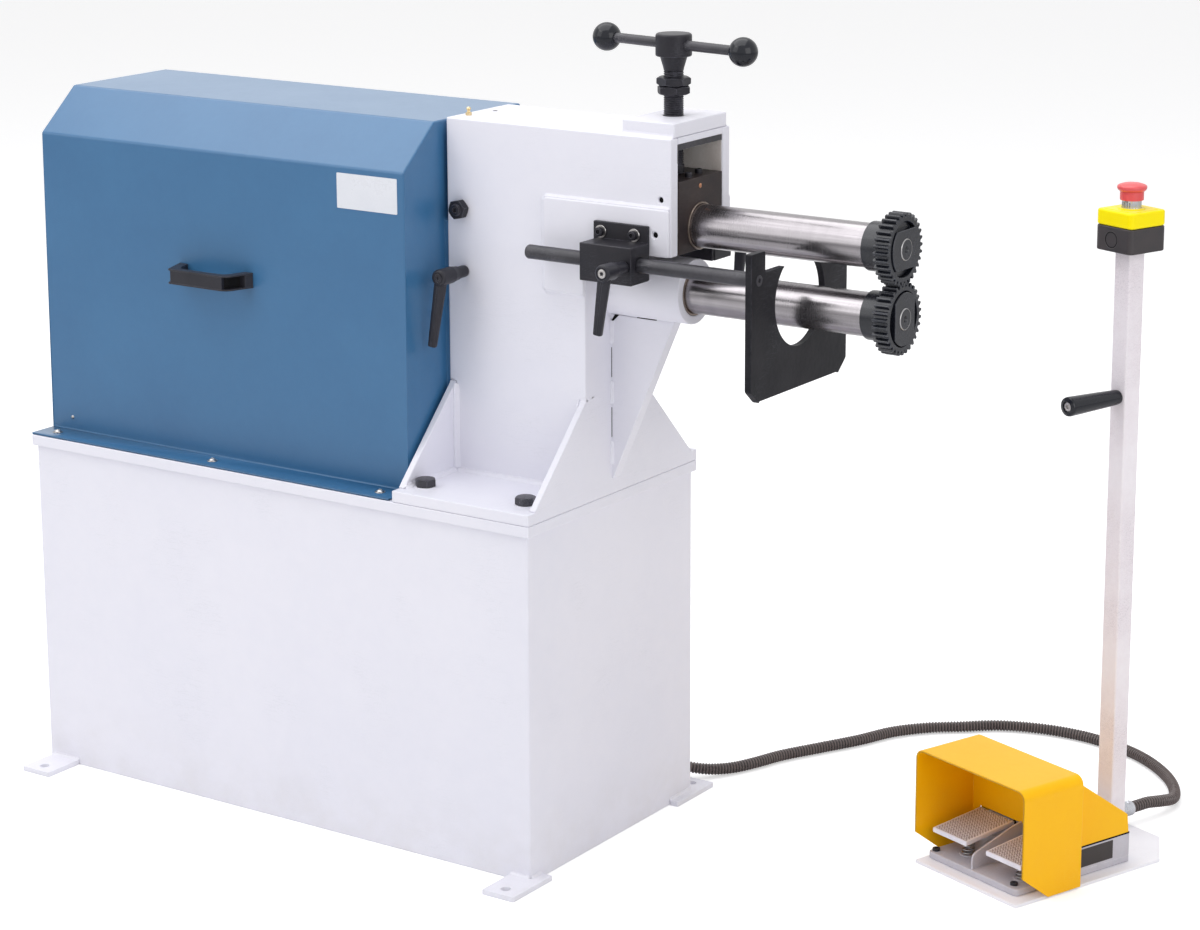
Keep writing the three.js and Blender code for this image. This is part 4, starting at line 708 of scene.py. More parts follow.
def make_cabinet():
    """The cabinet is one wall carried up round its corners, over the rim and down inside. Its top
    plate and its feet are flat plates, with a weld bead where each foot meets a wall. The right-hand
    feet also run round the cabinet's corner."""
    (left, front, _), (right, back, top) = span("cabinet_shell")
    outline = rounded(rectangle(left, front, right, back), 4)
    wall = [onto("z", *inset(outline, draw).T, z)
            for draw, z in ((1.2, 0), (0, 1.2), (0, top - 0.8), (0.8, top), (3, top), (3, 3))]
    put("cabinet_body", [skin(wall)], "machine_paint", replaces="cabinet_shell")
    put("cabinet_deck", [node_slab("cabinet_top_plate", "z", 2.5, 1.6, 3)], "machine_paint",
        replaces="cabinet_top_plate")

    end_face = right + 0.3
    for side, way in (("front_left", -1), ("back_left", 1), ("front_right", -1), ("back_right", 1)):
        low, high = span("foot_" + side)
        outer, inner = (high, low) if way > 0 else (low, high)
        face, thick = way * (back + 0.3), high[2]
        outline = [(low[0], outer[1]), (high[0], outer[1]), (high[0], face), (low[0], face)]
        beads = [((low[0], face), (min(high[0], right - 1), face), (0, way, 0))]
        if side.endswith("right"):
            outline[2:3] = [(high[0], inner[1]), (end_face, inner[1]), (end_face, face)]
            beads.append(((end_face, way * (back - 1.5)), (end_face, inner[1]), (1, 0, 0)))
        hole = (low[0] + 27, outer[1] - way * 20)
        shells = [plate(rounded(outline, 2), "z", 0, thick, 1.0, holes=[(hole, 7)])]
        shells += [fillet([(*a, thick), (*b, thick)], away, (0, 0, 1), 4.0, a[0]) for a, b, away in beads]
        put("levelling_foot_" + side, shells, "machine_paint", replaces="foot_" + side)


def make_cover():
    """The drive cover is one folded sheet: the profile runs up the front, over the chamfer and the
    top and down the back, with a flange at each foot, and an end plate closes each side. The
    right-hand one has the motor's notch, whose lip is folded towards the column."""
    (left, front, foot), (right, back, top) = span("drive_cover")
    flange, wall, lip, half_notch, notch_top = 47.5, 3.0, 229.4, 72, 903
    front_face, back_face, ledge = front + flange, back - flange, foot + wall
    profile = [(front, ledge), (front_face, ledge), (front_face, 983), (-93, top), (back_face, top),
               (back_face, ledge), (back, ledge), (front_face, foot), (back_face, foot)]
    notch = rectangle(half_notch, foot, -half_notch, notch_top)
    notch = [notch[0], notch[3], notch[2], notch[1]]
    n = len(profile)
    points = [(x, y, z) for x in (left, right) for y, z in profile]
    points += [(x, y, z) for x in (right, lip) for y, z in notch]
    cut = 2 * n
    faces = [[i, i + 1, n + i + 1, n + i] for i in range(6)] + [[7, 1, 2, 3, 4, 5, 8]]
    faces += [[n + 7, n + 1, n + 2, n + 3, cut + 2, cut + 3], [n + 3, n + 4, cut + 1, cut + 2],
              [n + 4, n + 5, n + 8, cut, cut + 1]]
    faces += [[cut + i, cut + i + 1, cut + i + 5, cut + i + 4] for i in range(3)]
    put_sheet("cover_sheet", points, faces, wall, 3.0, "cover_paint", replaces="drive_cover")

    places = [(x, y) for x in (-433, -122, 191) for y in (-192, 141)]
    washer = placed([(5.4, 0), (7.6, 0), (7.9, 0.4), (7.6, 0.9), (5.4, 0.9)], ledge)
    put("cover_screws", [cross_screw("z", at, 525.9, 530.2, 5.6) for at in places]
        + [turned(washer, "z", at, 40, True) for at in places], "zinc_screw")
    dome = [(0, -0.4), (2.9, -0.4), (3.1, 0.2), (2.4, 1.1), (1.2, 1.6), (0, 1.7)]
    put("cover_rivets", [turned(placed(dome, front_face, -1), "y", (-425, 545), 24)], "plain_steel")
    label = slab((104.5, 923.5, 211.5, 974), 1.5, "y", -167.2, -166.4, 0.25)
    put("cover_plain_plate", [label], "plain_label")


def make_cover_handle():
    """The bridge handle is two flanges of its outline with webs between them, and a dark piece of painted
    shade fills the pocket that stays open between the front web and the right leg's."""
    centre, face, z = -124.9, -166.8, 800.45
    outline = [(70.5, 0), (55, -45), (-55, -45), (-70.5, 0), (-54.5, 0), (-43.3, -32.5), (43.3, -32.5),
               (54.5, 0)]
    radii = [0.8, 13, 4.5, 0.8, 0.8, 11, 11, 0.8]

    def part(points, radius, low, high, edge):
        ring = rounded(np.array(points) + (centre, face), radius, 5)
        return plate(ring, "z", z + low, z + high, edge)

    webs = [
        ([(-52.5, -44.5), (48, -44.5), (46, -33), (-47, -33)], [4, 0.5, 0.5, 0.5]),
        ([(-54.7, -0.2), (-43.5, -32.5), (-36, -36), (-52, -43), (-64, -0.2)], [0.5, 8, 1, 6, 0.5]),
        ([(52, -0.2), (48, -13), (65.5, -13), (70, -0.2)], 0.6),
    ]
    shells = [part(outline, radii, 8.7, 11.25, 0.9), part(outline, radii, -11.25, -8.7, 0.9)]
    shells += [part(points, radius, -9.2, 9.2, 0.4) for points, radius in webs]
    put("bridge_handle", shells, "black_plastic", replaces="cover_handle")
    # The open pocket is filled with a dark piece: painted shade.
    pocket = [(54.7, -0.2), (46.5, -28), (46, -33), (46, -38), (49, -35), (60, -0.2)]
    put("handle_pocket_shade", [part(pocket, [0.5, 6, 0.5, 0.5, 6, 0.5], -9.0, 9.0, 0.3)], "dark_recess")


# Column

def make_column():
    """Flat plates with softened rims. Each cheek carries a raised pad and has two tapped holes, with a dark
    disc of painted shade down each, and a roof closes the head, with a dark plate of painted shade under it
    and bare guides inside, lightened by painted light."""
    left, right = (corner[0] for corner in span("column_base_plate"))
    (cheek_left, _, foot), (head, _, top) = span("column_back_plate")
    put("column_foot_plate", [node_slab("column_base_plate", "z", 2.5, 1.6, 3)], "machine_paint",
        replaces="column_base_plate")

    def side(at, upto):
        half = [(199, foot), (199, 541), (76.3, 668), (74.8, 671), (56.8, 671), (56.8, upto)]
        radii = [0.5, 3, 1.5, 0.5, 0.5, 1.5]
        outline = rounded(half + [(-y, z) for y, z in half[::-1]], radii + radii[::-1])
        return plate(outline, "x", at, at + 10, 1.4, 3)

    put("column_left_side", [side(left, top)], "machine_paint", replaces="column_left_plate")
    rib = rounded([(464.5, 545.3), (467.5, 545.3), (571, 785.2), (464.5, 785.2)], [0.5, 1.5, 4, 0.5])
    put("column_right_side", [side(right - 10, 888.7), plate(rib, "y", -10, 10, 1.4, 3)], "machine_paint",
        replaces="column_right_plate")

    cheek = rounded([(cheek_left, foot), (455.2, foot), (455.2, 671.3), (right, 671.3), (right, 889),
                     (head, 889), (head, top), (left, top), (left, 671.3), (cheek_left, 671.3)],
                    [0.5, 0.5, 0.5, 1, 5, 2.5, 2.5, 2, 1, 0.5])
    pad = rounded([(398, 821.7), (465.5, 821.7), (465.5, 889.3), (605, 889.3), (605, 955), (398, 955)],
                  [6, 4.5, 5, 5, 5, 6])
    cheek_hole, pad_hole, bore = (589, 967), (583, 919), 4.0
    shells = [plate(cheek, "y", -75, -57, 2.2, 3, holes=[(cheek_hole, bore)]),
              plate(pad, "y", -80, -74, 3.0, 5, holes=[(pad_hole, bore)]),
              fillet([(398.2, -75, 822), (398.2, -75, 955)], (-1.8, 0, 0), (0, -1, 0), 3.6, 8),
              fillet([(398, -75, 954.8), (604, -75, 954.8)], (0, 0, 1.3), (0, -1, 0), 3.6, 9),
              fillet([(398, -75, 821.9), (464, -75, 821.9)], (0, 0, -1.8), (0, -1, 0), 3.6, 10)]
    # A dark disc down each tapped hole: painted shade.
    hole_shades = [turned([(0, y), (4.4, y), (4.4, y + 1), (0, y + 1)], "y", at, 24)
             for at, y in ((cheek_hole, -71), (pad_hole, -76))]
    for name, way in (("front", -1), ("back", 1)):
        put(f"column_{name}_cheek", on_side(shells, way), "machine_paint", replaces=f"column_{name}_plate")
        put(f"column_{name}_holes", on_side(hole_shades, way), "dark_recess")

    inside, screw_hole = 56.7, [(SCREW, 14.4)]
    put("column_roof", [slab((cheek_left, -inside, head, inside), 1, "z", 1042, 1051, 0.8, holes=screw_hole),
                        slab((521.5, -67, head, 67), 3, "z", 1051.3, 1071.3, 2.0, 3, holes=screw_hole)],
        "machine_paint", replaces="column_top_plate")
    # A dark plate under the roof and a dark block at the opening's corner: painted shade at the top of the
    # opening.
    put("roof_liner", [slab((300, -inside, 604.6, inside), 1, "z", 1033.2, 1042.2, 0.8, holes=screw_hole),
                       block((602.5, -59.6, 1016), (606.05, -56.6, 1041.8), 0.5)], "forged_steel")
    # The guides' near-white colour is partly painted light.
    guide = slab((492, 889.6, 603.6, 1033), 1, "y", 56.5, 57.2, 0.2)
    put("head_guides", [guide, *mirrored([guide])], "bare_guide")
    make_column_joints(right)
    make_column_fittings(top)


def make_column_joints(right):
    """The weld beads, the paint that fills the joints in the right face, and dark strips of painted shade in
    the seams that stay open beside the rib."""
    beads = [
        fillet([(240.2, -75, 541), (240.2, -75, 668)], (1, 0, 0), (0, -1, 0), 7.0, 1),
        fillet([(455.3, -75, 541), (455.3, -75, 668)], (-1, 0, 0), (0, -1, 0), 7.0, 2),
        fillet([(240, -75, 539.1), (455, -75, 539.1)], (0, -1, 0), (0, 0, 1), 6.0, 3),
        fillet([(240.2, -76, 539.1), (240.2, -197, 539.1)], (1, 0, 0), (0, 0, 1), 6.0, 4),
        fillet([(455.3, -76, 539.1), (455.3, -197, 539.1)], (-1, 0, 0), (0, 0, 1), 6.0, 5),
    ]
    stitches = [fillet([(465.4, -10, z), (465.4, -10, z + 34)], (1, 0, 0), (0, -1, 0), 4.5, z)
                for z in (566, 654, 741)]
    bridge_beads = [fillet([(521.7, -67, 1051.2), (605, -67, 1051.2)], (0, -1, 0), (0, 0, 1), 5.0, 6),
                    fillet([(521.5, -66, 1051.2), (521.5, 66, 1051.2)], (-1, 0, 0), (0, 0, 1), 5.0, 7)]
    put("weld_beads", beads + mirrored(beads) + stitches + mirrored(stitches) + bridge_beads
        + mirrored(bridge_beads[:1]), "machine_paint")
    face = right - 0.05
    filled = [block((463, -60, 672), (face, -54.4, 888), 0.02),
              block((463, -72.5, 668.6), (face, -54.4, 673.8), 0.02),
              block((456.5, -75.06, 667), (face, -70, 674.2), 0.05)]
    put("joint_filler", filled + mirrored(filled) + [block((463, -198.5, 536.6), (face, 198.5, 541.6), 0.02)],
        "machine_paint")
    # Dark strips in the open seams beside the rib: painted shade.
    seams = [block((465.3, -10.7, z), (466.1, -9.7, z + 43), 0.1) for z in (606, 693)]
    corner_gap = rounded([(466, 774.5), (469, 774.5), (478.5, 783.8), (472, 784.2)], 0.8)
    seams += [block((509, -10.7, 783.2), (541, -9.5, 784.8), 0.1), plate(corner_gap, "y", -11.2, -9.5, 0.2)]
    put("rib_seam_shades", seams + mirrored(seams), "dark_recess")


def make_column_fittings(top):
    """The base bolts on their washers, the grease nipple, and the oil hole as a dark disc of painted shade.
    """
    bolts = [(x, y) for x in (258, 431) for y in (-173, 173)]
    put("base_bolts", [hex_nut("z", at, 540.0, 551.6, 26.4, turn=14 + 17 * i) for i, at in enumerate(bolts)],
        "forged_steel")
    washer = [(9, 538.9), (15.8, 538.9), (16.1, 539.6), (15.5, 540.3), (9, 540.3)]
    put("base_washers", [turned(washer, "z", at, 48, True) for at in bolts], "machine_paint")
    nipple = [(0, 0), (4.5, 0), (4.5, 4), (2.6, 4.6), (2.2, 7), (3.3, 8.4), (3.3, 10), (2.2, 11.6), (1, 12),
              (0, 12)]
    put("grease_nipple", [turned(placed(nipple, top), "z", (246, -43), 32)], "brass")
    # The oil hole is a dark disc: painted shade.
    hole = [(0, -0.1), (4.6, -0.1), (3.6, 0.05), (3.2, 0.15), (0, 0.15)]
    put("oil_hole_shade", [turned(placed(hole, top), "z", (253, 11), 32)], "dark_recess")


def make_pivot_screws():
    """A hexagon with a socketed stud through it, on each cheek."""
    x, _, z = pivot("upper_tilt")
    shank = [(0, 40.5), (6, 40.5), (6, 58), (8, 58), (8, 76), (0, 76)]
    for side, way in (("front", -1), ("back", 1)):
        nut = hex_nut("y", (x, z), way * 75.2, way * 87.6, 25.2, turn=12)
        stud = socket_screw("y", (x, z), way * 86.5, way * 90.4, 8.2, 7.0, 3.2, dome=0.25)
        put(side + "_pivot_nut", [nut, stud, turned(placed(shank, 0, way), "y", (x, z), 32)], "black_steel",
            replaces=side + "_pivot_screw")


# Shafts and rolls

def make_bearing_tube():
    """The painted tube round the lower shaft, and the thin rings of both shafts' bushes."""
    tube = [(31, 345), (45.2, 345), (45.75, 345.6), (45.75, 596.5), (45.2, 598.2), (43.8, 599), (34.4, 599),
            (33.6, 598.2), (33.6, 560), (31, 560)]
    put("bearing_tube", [turned(tube, "x", LOWER_AXIS, 128, True)], "machine_paint",
        replaces="lower_bearing_tube")
    bush = [(30.35, 562), (33.5, 562), (33.5, 598.6), (33.1, 599.4), (30.9, 599.4), (30.35, 598.9)]
    put("lower_bush", [turned(bush, "x", LOWER_AXIS, 96, True)], "oiled_bush")
    ring = [(30.35, 590), (33.2, 590), (33.2, 606.9), (32.6, 607.8), (31, 607.8), (30.35, 607.2)]
    put("upper_bush", [turned(ring, "x", UPPER_AXIS, 96, True)], "oiled_bush", "tilting_mount")


def make_shafts():
    """Each shaft is turned: journal, long ground barrel and roll seat, then the dark end with its
    centre hole. The end's rim is rubbed bright, and a bright steel point in the centre hole is a painted
    highlight."""
    rubbed_rim = [(13.4, 925.3), (14.5, 924.3), (14.9, 925.1), (14.3, 925.9), (13.6, 926)]
    # A bright steel point in the centre hole: a painted highlight.
    point = [(0, 921), (1.5, 921), (1.9, 921.9), (0, 921.4)]
    end = [(0, 912.2), (14.2, 912.2), (14.2, 924.9), (13.4, 925.9), (5, 925.9), (4.2, 925.2), (1.4, 921.2),
           (1.2, 919.6), (0, 919.6)]
    for name, axis in (("lower", LOWER_AXIS), ("upper", UPPER_AXIS)):
        start, body = span(name + "_shaft")[0][0], name + "_line"
        bar = [(0, start), (16, start), (17, start + 1), (17, 293.5), (29, 293.5), (30, 294.5), (30, 890),
               (29.2, 890.9), (20, 890.9), (20, 912.4), (0, 912.4)]
        put(name + "_shaft_bar", [turned(bar, "x", axis, 128)], "ground_steel", body,
            replaces=name + "_shaft")
        put(name + "_shaft_end", [turned(end, "x", axis, 64)], "phosphated_roll", body)
        put(name + "_rubbed_rim", [turned(rubbed_rim, "x", axis, 64, True), turned(point, "x", axis, 24)],
            "plain_steel", body)


def roll_outline(phase):
    """The roll's toothed outline as angles and radii: thirty involute teeth on a pitch radius of
    46.75, each flank's half angle being its value at the pitch circle plus the difference of
    tan a - a between there and the flank's radius, with cos a = ground radius over radius."""
    teeth, pitch = 30, 46.75
    module = 2 * pitch / teeth
    tip, root, ground = pitch + 0.8 * module, pitch - 1.05 * module, pitch * math.cos(math.radians(20))

    def involute(radius):
        a = np.arccos(np.minimum(1, ground / radius))
        return np.tan(a) - a

    flank = np.linspace(max(root, ground), tip - 0.25, 6)
    half = np.pi / (2 * teeth) - 0.5 / (2 * pitch) + involute(pitch) - involute(flank)
    radii = np.concatenate([[root, root + 0.05], flank, [tip, tip], flank[::-1], [root + 0.05, root]])
    start = half[0] + 0.012
    angles = np.concatenate([[-np.pi / teeth * 0.9, -start], -half, [-half[-1] * 0.75, half[-1] * 0.75],
                             half[::-1], [start, np.pi / teeth * 0.9]])
    turns = phase + 2 * np.pi * np.arange(teeth)[:, None] / teeth
    return (turns + angles).ravel(), np.tile(radii, teeth)


def make_rolls():
    """Each roll is one surface whose rings share the teeth's angles: bore, collar, toothed rim and
    recess, with a dark disc of painted shade on the recess's floor. Its round nut has two flats, cut at 26.5
    from the middle."""
    for name, axis, phase, along in (("lower", LOWER_AXIS, np.pi / 2, np.cos),
                                     ("upper", UPPER_AXIS, np.pi / 2 + np.pi / 30, np.sin)):
        body = name + "_line"
        angle, teeth = roll_outline(phase)
        rings = [(30.4, 874), (32.3, 874), (33.3, 874.8), (33.5, 876), (33.5, 899.6), (33.1, 900.6),
                 (teeth - 0.9, 901), (teeth, 901.8), (teeth, 922.2), (teeth - 0.7, 923), (38.2, 923),
                 (37.6, 922.4), (37.4, 913), (20.3, 913), (20.3, 891.4), (30.4, 891.4)]
        put(name + "_toothed_roll", [ringed("x", axis, angle, rings, True)], "phosphated_roll", body,
            replaces=name + "_roll", sharp=30)

        angle = full_turn(144)
        flat = np.minimum(36, 26.5 / np.maximum(np.abs(along(angle)), 0.1))
        rings = [(14.6, 913.3), (35.4, 913.3), (36, 914), (36, 916.8), (flat, 917), (flat, 924.4),
                 (flat - 0.5, 925), (15.4, 925), (14.6, 924.3)]
        put(name + "_round_nut", [ringed("x", axis, angle, rings, True)], "phosphated_roll", body,
            replaces=name + "_roll_nut", sharp=30)
        # A dark disc on the recess's floor: painted shade.
        floor = [(25, 913.05), (37.4, 913.05), (37.4, 913.25), (25, 913.25)]
        put(name + "_recess_shade", [turned(floor, "x", axis, 64, True)], "dark_recess", body)


def make_tilting_mount():
    """The bearing block round the upper shaft, with its plug and the two screws on its top."""
    put("upper_bearing_block", [node_slab("bearing_block", "x", 1.2, 1.0, holes=[(UPPER_AXIS, 30.9)])],
        "oily_block", "tilting_mount", replaces="bearing_block")
    plug = [(0, 605.8), (3.4, 605.8), (3.3, 606.3), (2.6, 606.7), (0, 606.8)]
    put("copper_plug", [turned(plug, "x", (-1, 978), 32)], "copper", "tilting_mount")
    screws = [socket_screw("z", at, 990.2, 996.5, 5.2, 5, 3, dome=0.2) for at in ((593, -11), (588, 23))]
    put("block_screws", screws, "black_steel", "tilting_mount")


# Adjusting screw and handle

def make_adjuster():
    """The screw's thread is a radius of 12.75 plus a wave, cut flat, of z over the pitch less the
    angle over a turn. Its nuts, hub, bar and knobs are turned."""
    body, pitch = "screw_and_handle", 3.0
    angle = full_turn(40)[None]
    z = np.linspace(1004.2, 1132.2, 343)[:, None]
    wave = (z / pitch - angle / (2 * np.pi)) % 1
    radius = 12.75 + 1.05 * np.clip(1.5 - np.abs(wave - 0.5) * 3.4, 0, 1)
    thread = skin(about("z", SCREW, radius, angle, z))
    spigot = turned([(0, 1131), (8, 1131), (8, 1150), (0, 1150)], "z", SCREW, 32)
    nose = turned([(0, 997), (6.2, 997), (7, 998), (7, 1005), (0, 1005)], "z", SCREW, 32)
    put("threaded_spindle", [thread, spigot, nose], "black_steel", body, replaces="adjusting_screw", sharp=60)
    nuts = [hex_nut("z", SCREW, base, base + 11.8, 41, 14.15, turn)
            for base, turn in ((1100.3, 12), (1112.5, 34))]
    put("jam_nuts", nuts, "black_steel", body, replaces="stop_nuts")

    def on_handle(shell):
        return [turn_about(shell, (*SCREW, 1132.6), -9.6)]

    hub = [(0, 0.2), (13, 0.2), (13.8, 1), (14.3, 4), (18.6, 18.6), (19.4, 19.8), (23.6, 20), (24.7, 20.8),
           (25, 22.4), (25, 47.6), (24.5, 49.6), (23, 50.8), (21, 51), (0, 51)]
    put("turned_hub", on_handle(turned(hub, "z", count=96)), "black_steel", body, replaces="handle_hub")
    bar_at = (0, 36)
    reach = np.linspace(-118, 118, 90)
    rod = np.stack([7 + 0.06 * np.sin(reach * 0.9) + 0.05 * np.sin(reach * 2.3 + 1), reach], 1)
    bar = turned([(0, -119), (6.4, -119), *rod, (6.4, 119), (0, 119)], "x", bar_at, 40)
    put("handle_bar", on_handle(bar), "forged_steel", body, replaces="cross_bar")
    a = np.linspace(0, np.pi, 48)
    knob = np.stack([20 * np.sin(a), 125 - 20 * np.cos(a)], 1)[(20 * np.sin(a) > 9) | (a > 1.5)]
    knob = [(0, 106.3), (7.6, 106.3), (8.6, 106.6), *knob]
    for side, way in (("left", -1), ("right", 1)):
        ball = turned(placed(knob, 0, way), "x", bar_at, 64)
        put(side + "_ball", on_handle(ball), "polished_plastic", body, replaces=side + "_ball_knob")


# Fence, rods and clamps

def make_fence():
    """The fence plate's outline with the round cut's arc, its two rods and their screws."""
    cut, axis_z, corner_z = 65.5, 840, 890
    reach = math.asin((corner_z - axis_z) / cut)
    angle = np.linspace(reach, math.pi - reach - 2 * np.pi, 72)
    arc = np.stack([cut * np.cos(angle), axis_z + cut * np.sin(angle)], 1)
    right = rounded([(105, 714), (127, 733), (127, 919), (91.5, 919), (91.5, corner_z), (42.3, corner_z)],
                    [3, 3, 2.5, 2, 3, 0.5])[:-4]
    outline = np.concatenate([right, arc, (right * (-1, 1))[::-1]])
    (low, _, _), (high, _, _) = span("fence_plate")
    put("fence_sheet", [plate(outline, "x", low, high, 0.9)], "scaled_plate", "fence", replaces="fence_plate")
    x = np.linspace(395, 753, 120)
    for side, y in (("front", -ROD_Y), ("rear", ROD_Y)):
        rod = np.stack([10 + 0.05 * np.sin(x * 0.7) + 0.05 * np.sin(x * 1.9 + y), x], 1)
        profile = [(0, 393), (9, 393), *rod, (9.4, 754.7), (0, 754.7)]
        put(side + "_guide_rod", [turned(profile, "x", (y, ROD_Z), 56)], "forged_steel", "fence",
            replaces=side + "_rod")
    put("fence_screws", [socket_screw("x", (y, ROD_Z), 764.4, 765.9, 7.6, 6.4, 1.2, dome=0.1)
                         for y in (-ROD_Y, ROD_Y)], "forged_steel", "fence")


def make_clamp_blocks():
    """Each clamp is a mount plate and a bored block, with two bright-ringed socket screws."""
    shells = [slab((-128.5, 855.7, -84.8, 908), 1.5, "x", 492.5, 576.5, 1.2, 3, [((-ROD_Y, ROD_Z), 10.7)]),
              slab((487, 855.7, 575, 931), 1.5, "y", -86, -80.3, 0.9)]
    ring = [(6.4, 86.0), (8.8, 86.0), (9.1, 86.5), (8.7, 87.2), (6.4, 87.2)]
    places = [(499, 917), (553.5, 917)]
    for side, way in (("front", -1), ("rear", 1)):
        put(side + "_clamp_body", on_side(shells, way), "black_steel", replaces=side + "_clamp_block")
        put(side + "_clamp_screws", [socket_screw("y", at, way * 85.9, way * 93.5, 6.6, 6, 4, dome=0.16)
                                     for at in places], "black_steel")
        put(side + "_clamp_washers", [turned(placed(ring, 0, way), "y", at, 48, True) for at in places],
            "zinc_screw")


def make_clamp_lever(name, which, face, way, length, arm, lean, cap):
    """A clamp lever: a turned hub in rising steps, a socketed cap on its end, and an arm whose
    section, with a ridge down its front, is carried down to a square tip and narrows on the way."""
    body = which + "_lever"
    x, _, z = pivot(body + "_turn")
    end = face + length
    steps = [(0, -9), (6, -9), (6, -0.5), (7.2, 0.2), (8.2, 1.6), (8.6, 5), (8.6, length * 0.30),
             (10, length * 0.31 + 0.8), (10.2, length * 0.42), (10.9, length * 0.43 + 0.5),
             (11.2, length * 0.52), (11.9, length * 0.53 + 0.6), (12, length - 3.6), (11.4, length - 2),
             (9.8, length - 0.9), (8.9, length - 0.6), (8.4, length - 1.6), (0, length - 1.6)]
    hub = turned([(r, way * (face + t)) for r, t in steps], "y", (x, z), 56)
    lean = math.radians(lean)
    along = np.array([math.sin(lean), 0, -math.cos(lean)])
    across = np.array([math.cos(lean), 0, math.sin(lean)])
    half = [(0, 0.06), (0.18, 0.02), (0.26, 0.10), (0.62, 0.10), (0.9, 0.2), (1, 0.34), (1, 0.72),
            (0.82, 0.92), (0.6, 1)]
    section = np.array(half + [(-a, d) for a, d in half[:0:-1]])
    run = np.concatenate([[0.02, 0.1], np.linspace(0.16, 0.985, 18), [0.996, 1.0]])
    width = np.interp(run, [0, 0.14, 1], [9.0, 9.4, 6.2]) * np.where(run > 0.99, 0.93, 1)
    depth = np.where(run > 0.998, 0.9, 1.0)
    back, thick = end - 3, 11.0
    rings = [np.array([x, 0, z]) + s * arm * along + np.outer(section[:, 0] * w, across)
             + np.outer(way * (back - thick / 2 + thick * d * (0.5 - section[:, 1])), (0, 1, 0))
             for s, w, d in zip(run, width, depth)]
    put(name, [hub, skin(rings)], "black_plastic", body, replaces=which + "_clamp_lever")
    screw = socket_screw("y", (x, z), way * (end - 2.4), way * (end - 0.1), 6.4, 5, 1.6, dome=0.2)
    put(name + "_cap", [screw], cap, body)


def make_levers():
    """The levers of both rod clamps and of the column."""
    make_clamp_lever("front_rod_lever", "front", 128.8, -1, 55.2, 87, -8, "zinc_screw")
    make_clamp_lever("rear_rod_lever", "rear", 128.8, 1, 55.2, 87, -5, "zinc_screw")
    make_clamp_lever("column_lever_arm", "column", 75.3, -1, 64.7, 103, -10, "black_steel")


# Stand, emergency stop and pedals

POLE = (-131.6, 314.7)


def square_at(half):
    """The corners of a square round the pole, this far out from its middle."""
    return rectangle(POLE[0] - half, POLE[1] - half, POLE[0] + half, POLE[1] + half)


def make_stand():
    """The stand's floor plate with its cut corners, the square pole with a bead round its foot,
    and the grip, whose radius grows by a power of the run from the pole to its free end."""
    thick, half = 5.0, 15
    floor_plate = rounded([(-207, 0), (0, 0), (0, 281), (-60, 343), (-147, 343), (-207, 281)], 2.5)
    pole = plate(rounded(square_at(half), 3.4, 5), "z", 4.6, 866, 0.3)
    corners = [(*corner, thick) for corner in square_at(half)]
    ways = [(0, -1, 0), (1, 0, 0), (0, 1, 0), (-1, 0, 0)]
    beads = [fillet(ends, way, (0, 0, 1), 3.5, seed)
             for *ends, way, seed in zip(corners, corners[1:] + corners[:1], ways, (-1, 1, 1, -1))]
    put("stand_pole", on_stand(pole, *beads), "station_paint", replaces="station_stand")
    put("stand_floor_plate", on_stand(plate(floor_plate, "z", 0, thick, 0.7)), "plate_paint")

    at, near, free = (POLE[0], pivot("grip_turn")[2]), 299.3, 199.6
    w = np.linspace(near, free, 60)
    t = (near - w) / (near - free)
    radius = 10.6 + 3.6 * t ** 0.8 - 0.5 * np.exp(-(t / 0.02) ** 2) - 1.6 * np.exp(-((1 - t) / 0.025) ** 2)
    sleeve = [(4.4, 207.4), (7.4, 207.4), (7.4, 200.2), (8.4, free), *np.stack([radius, w], 1)[-2::-1],
              (4.4, near)]
    put("grip_tube", on_stand(turned(sleeve, "y", at, 56, True)), "polished_plastic", "grip_sleeve",
        replaces="pole_grip")
    screw = socket_screw("y", at, 206.9, 201.2, 6.9, 5, 2.5, dome=0.16)
    rod = turned([(0, 205), (4, 205), (4, 300.5), (0, 300.5)], "y", at, 24)
    put("grip_screw", on_stand(screw, rod), "zinc_screw")


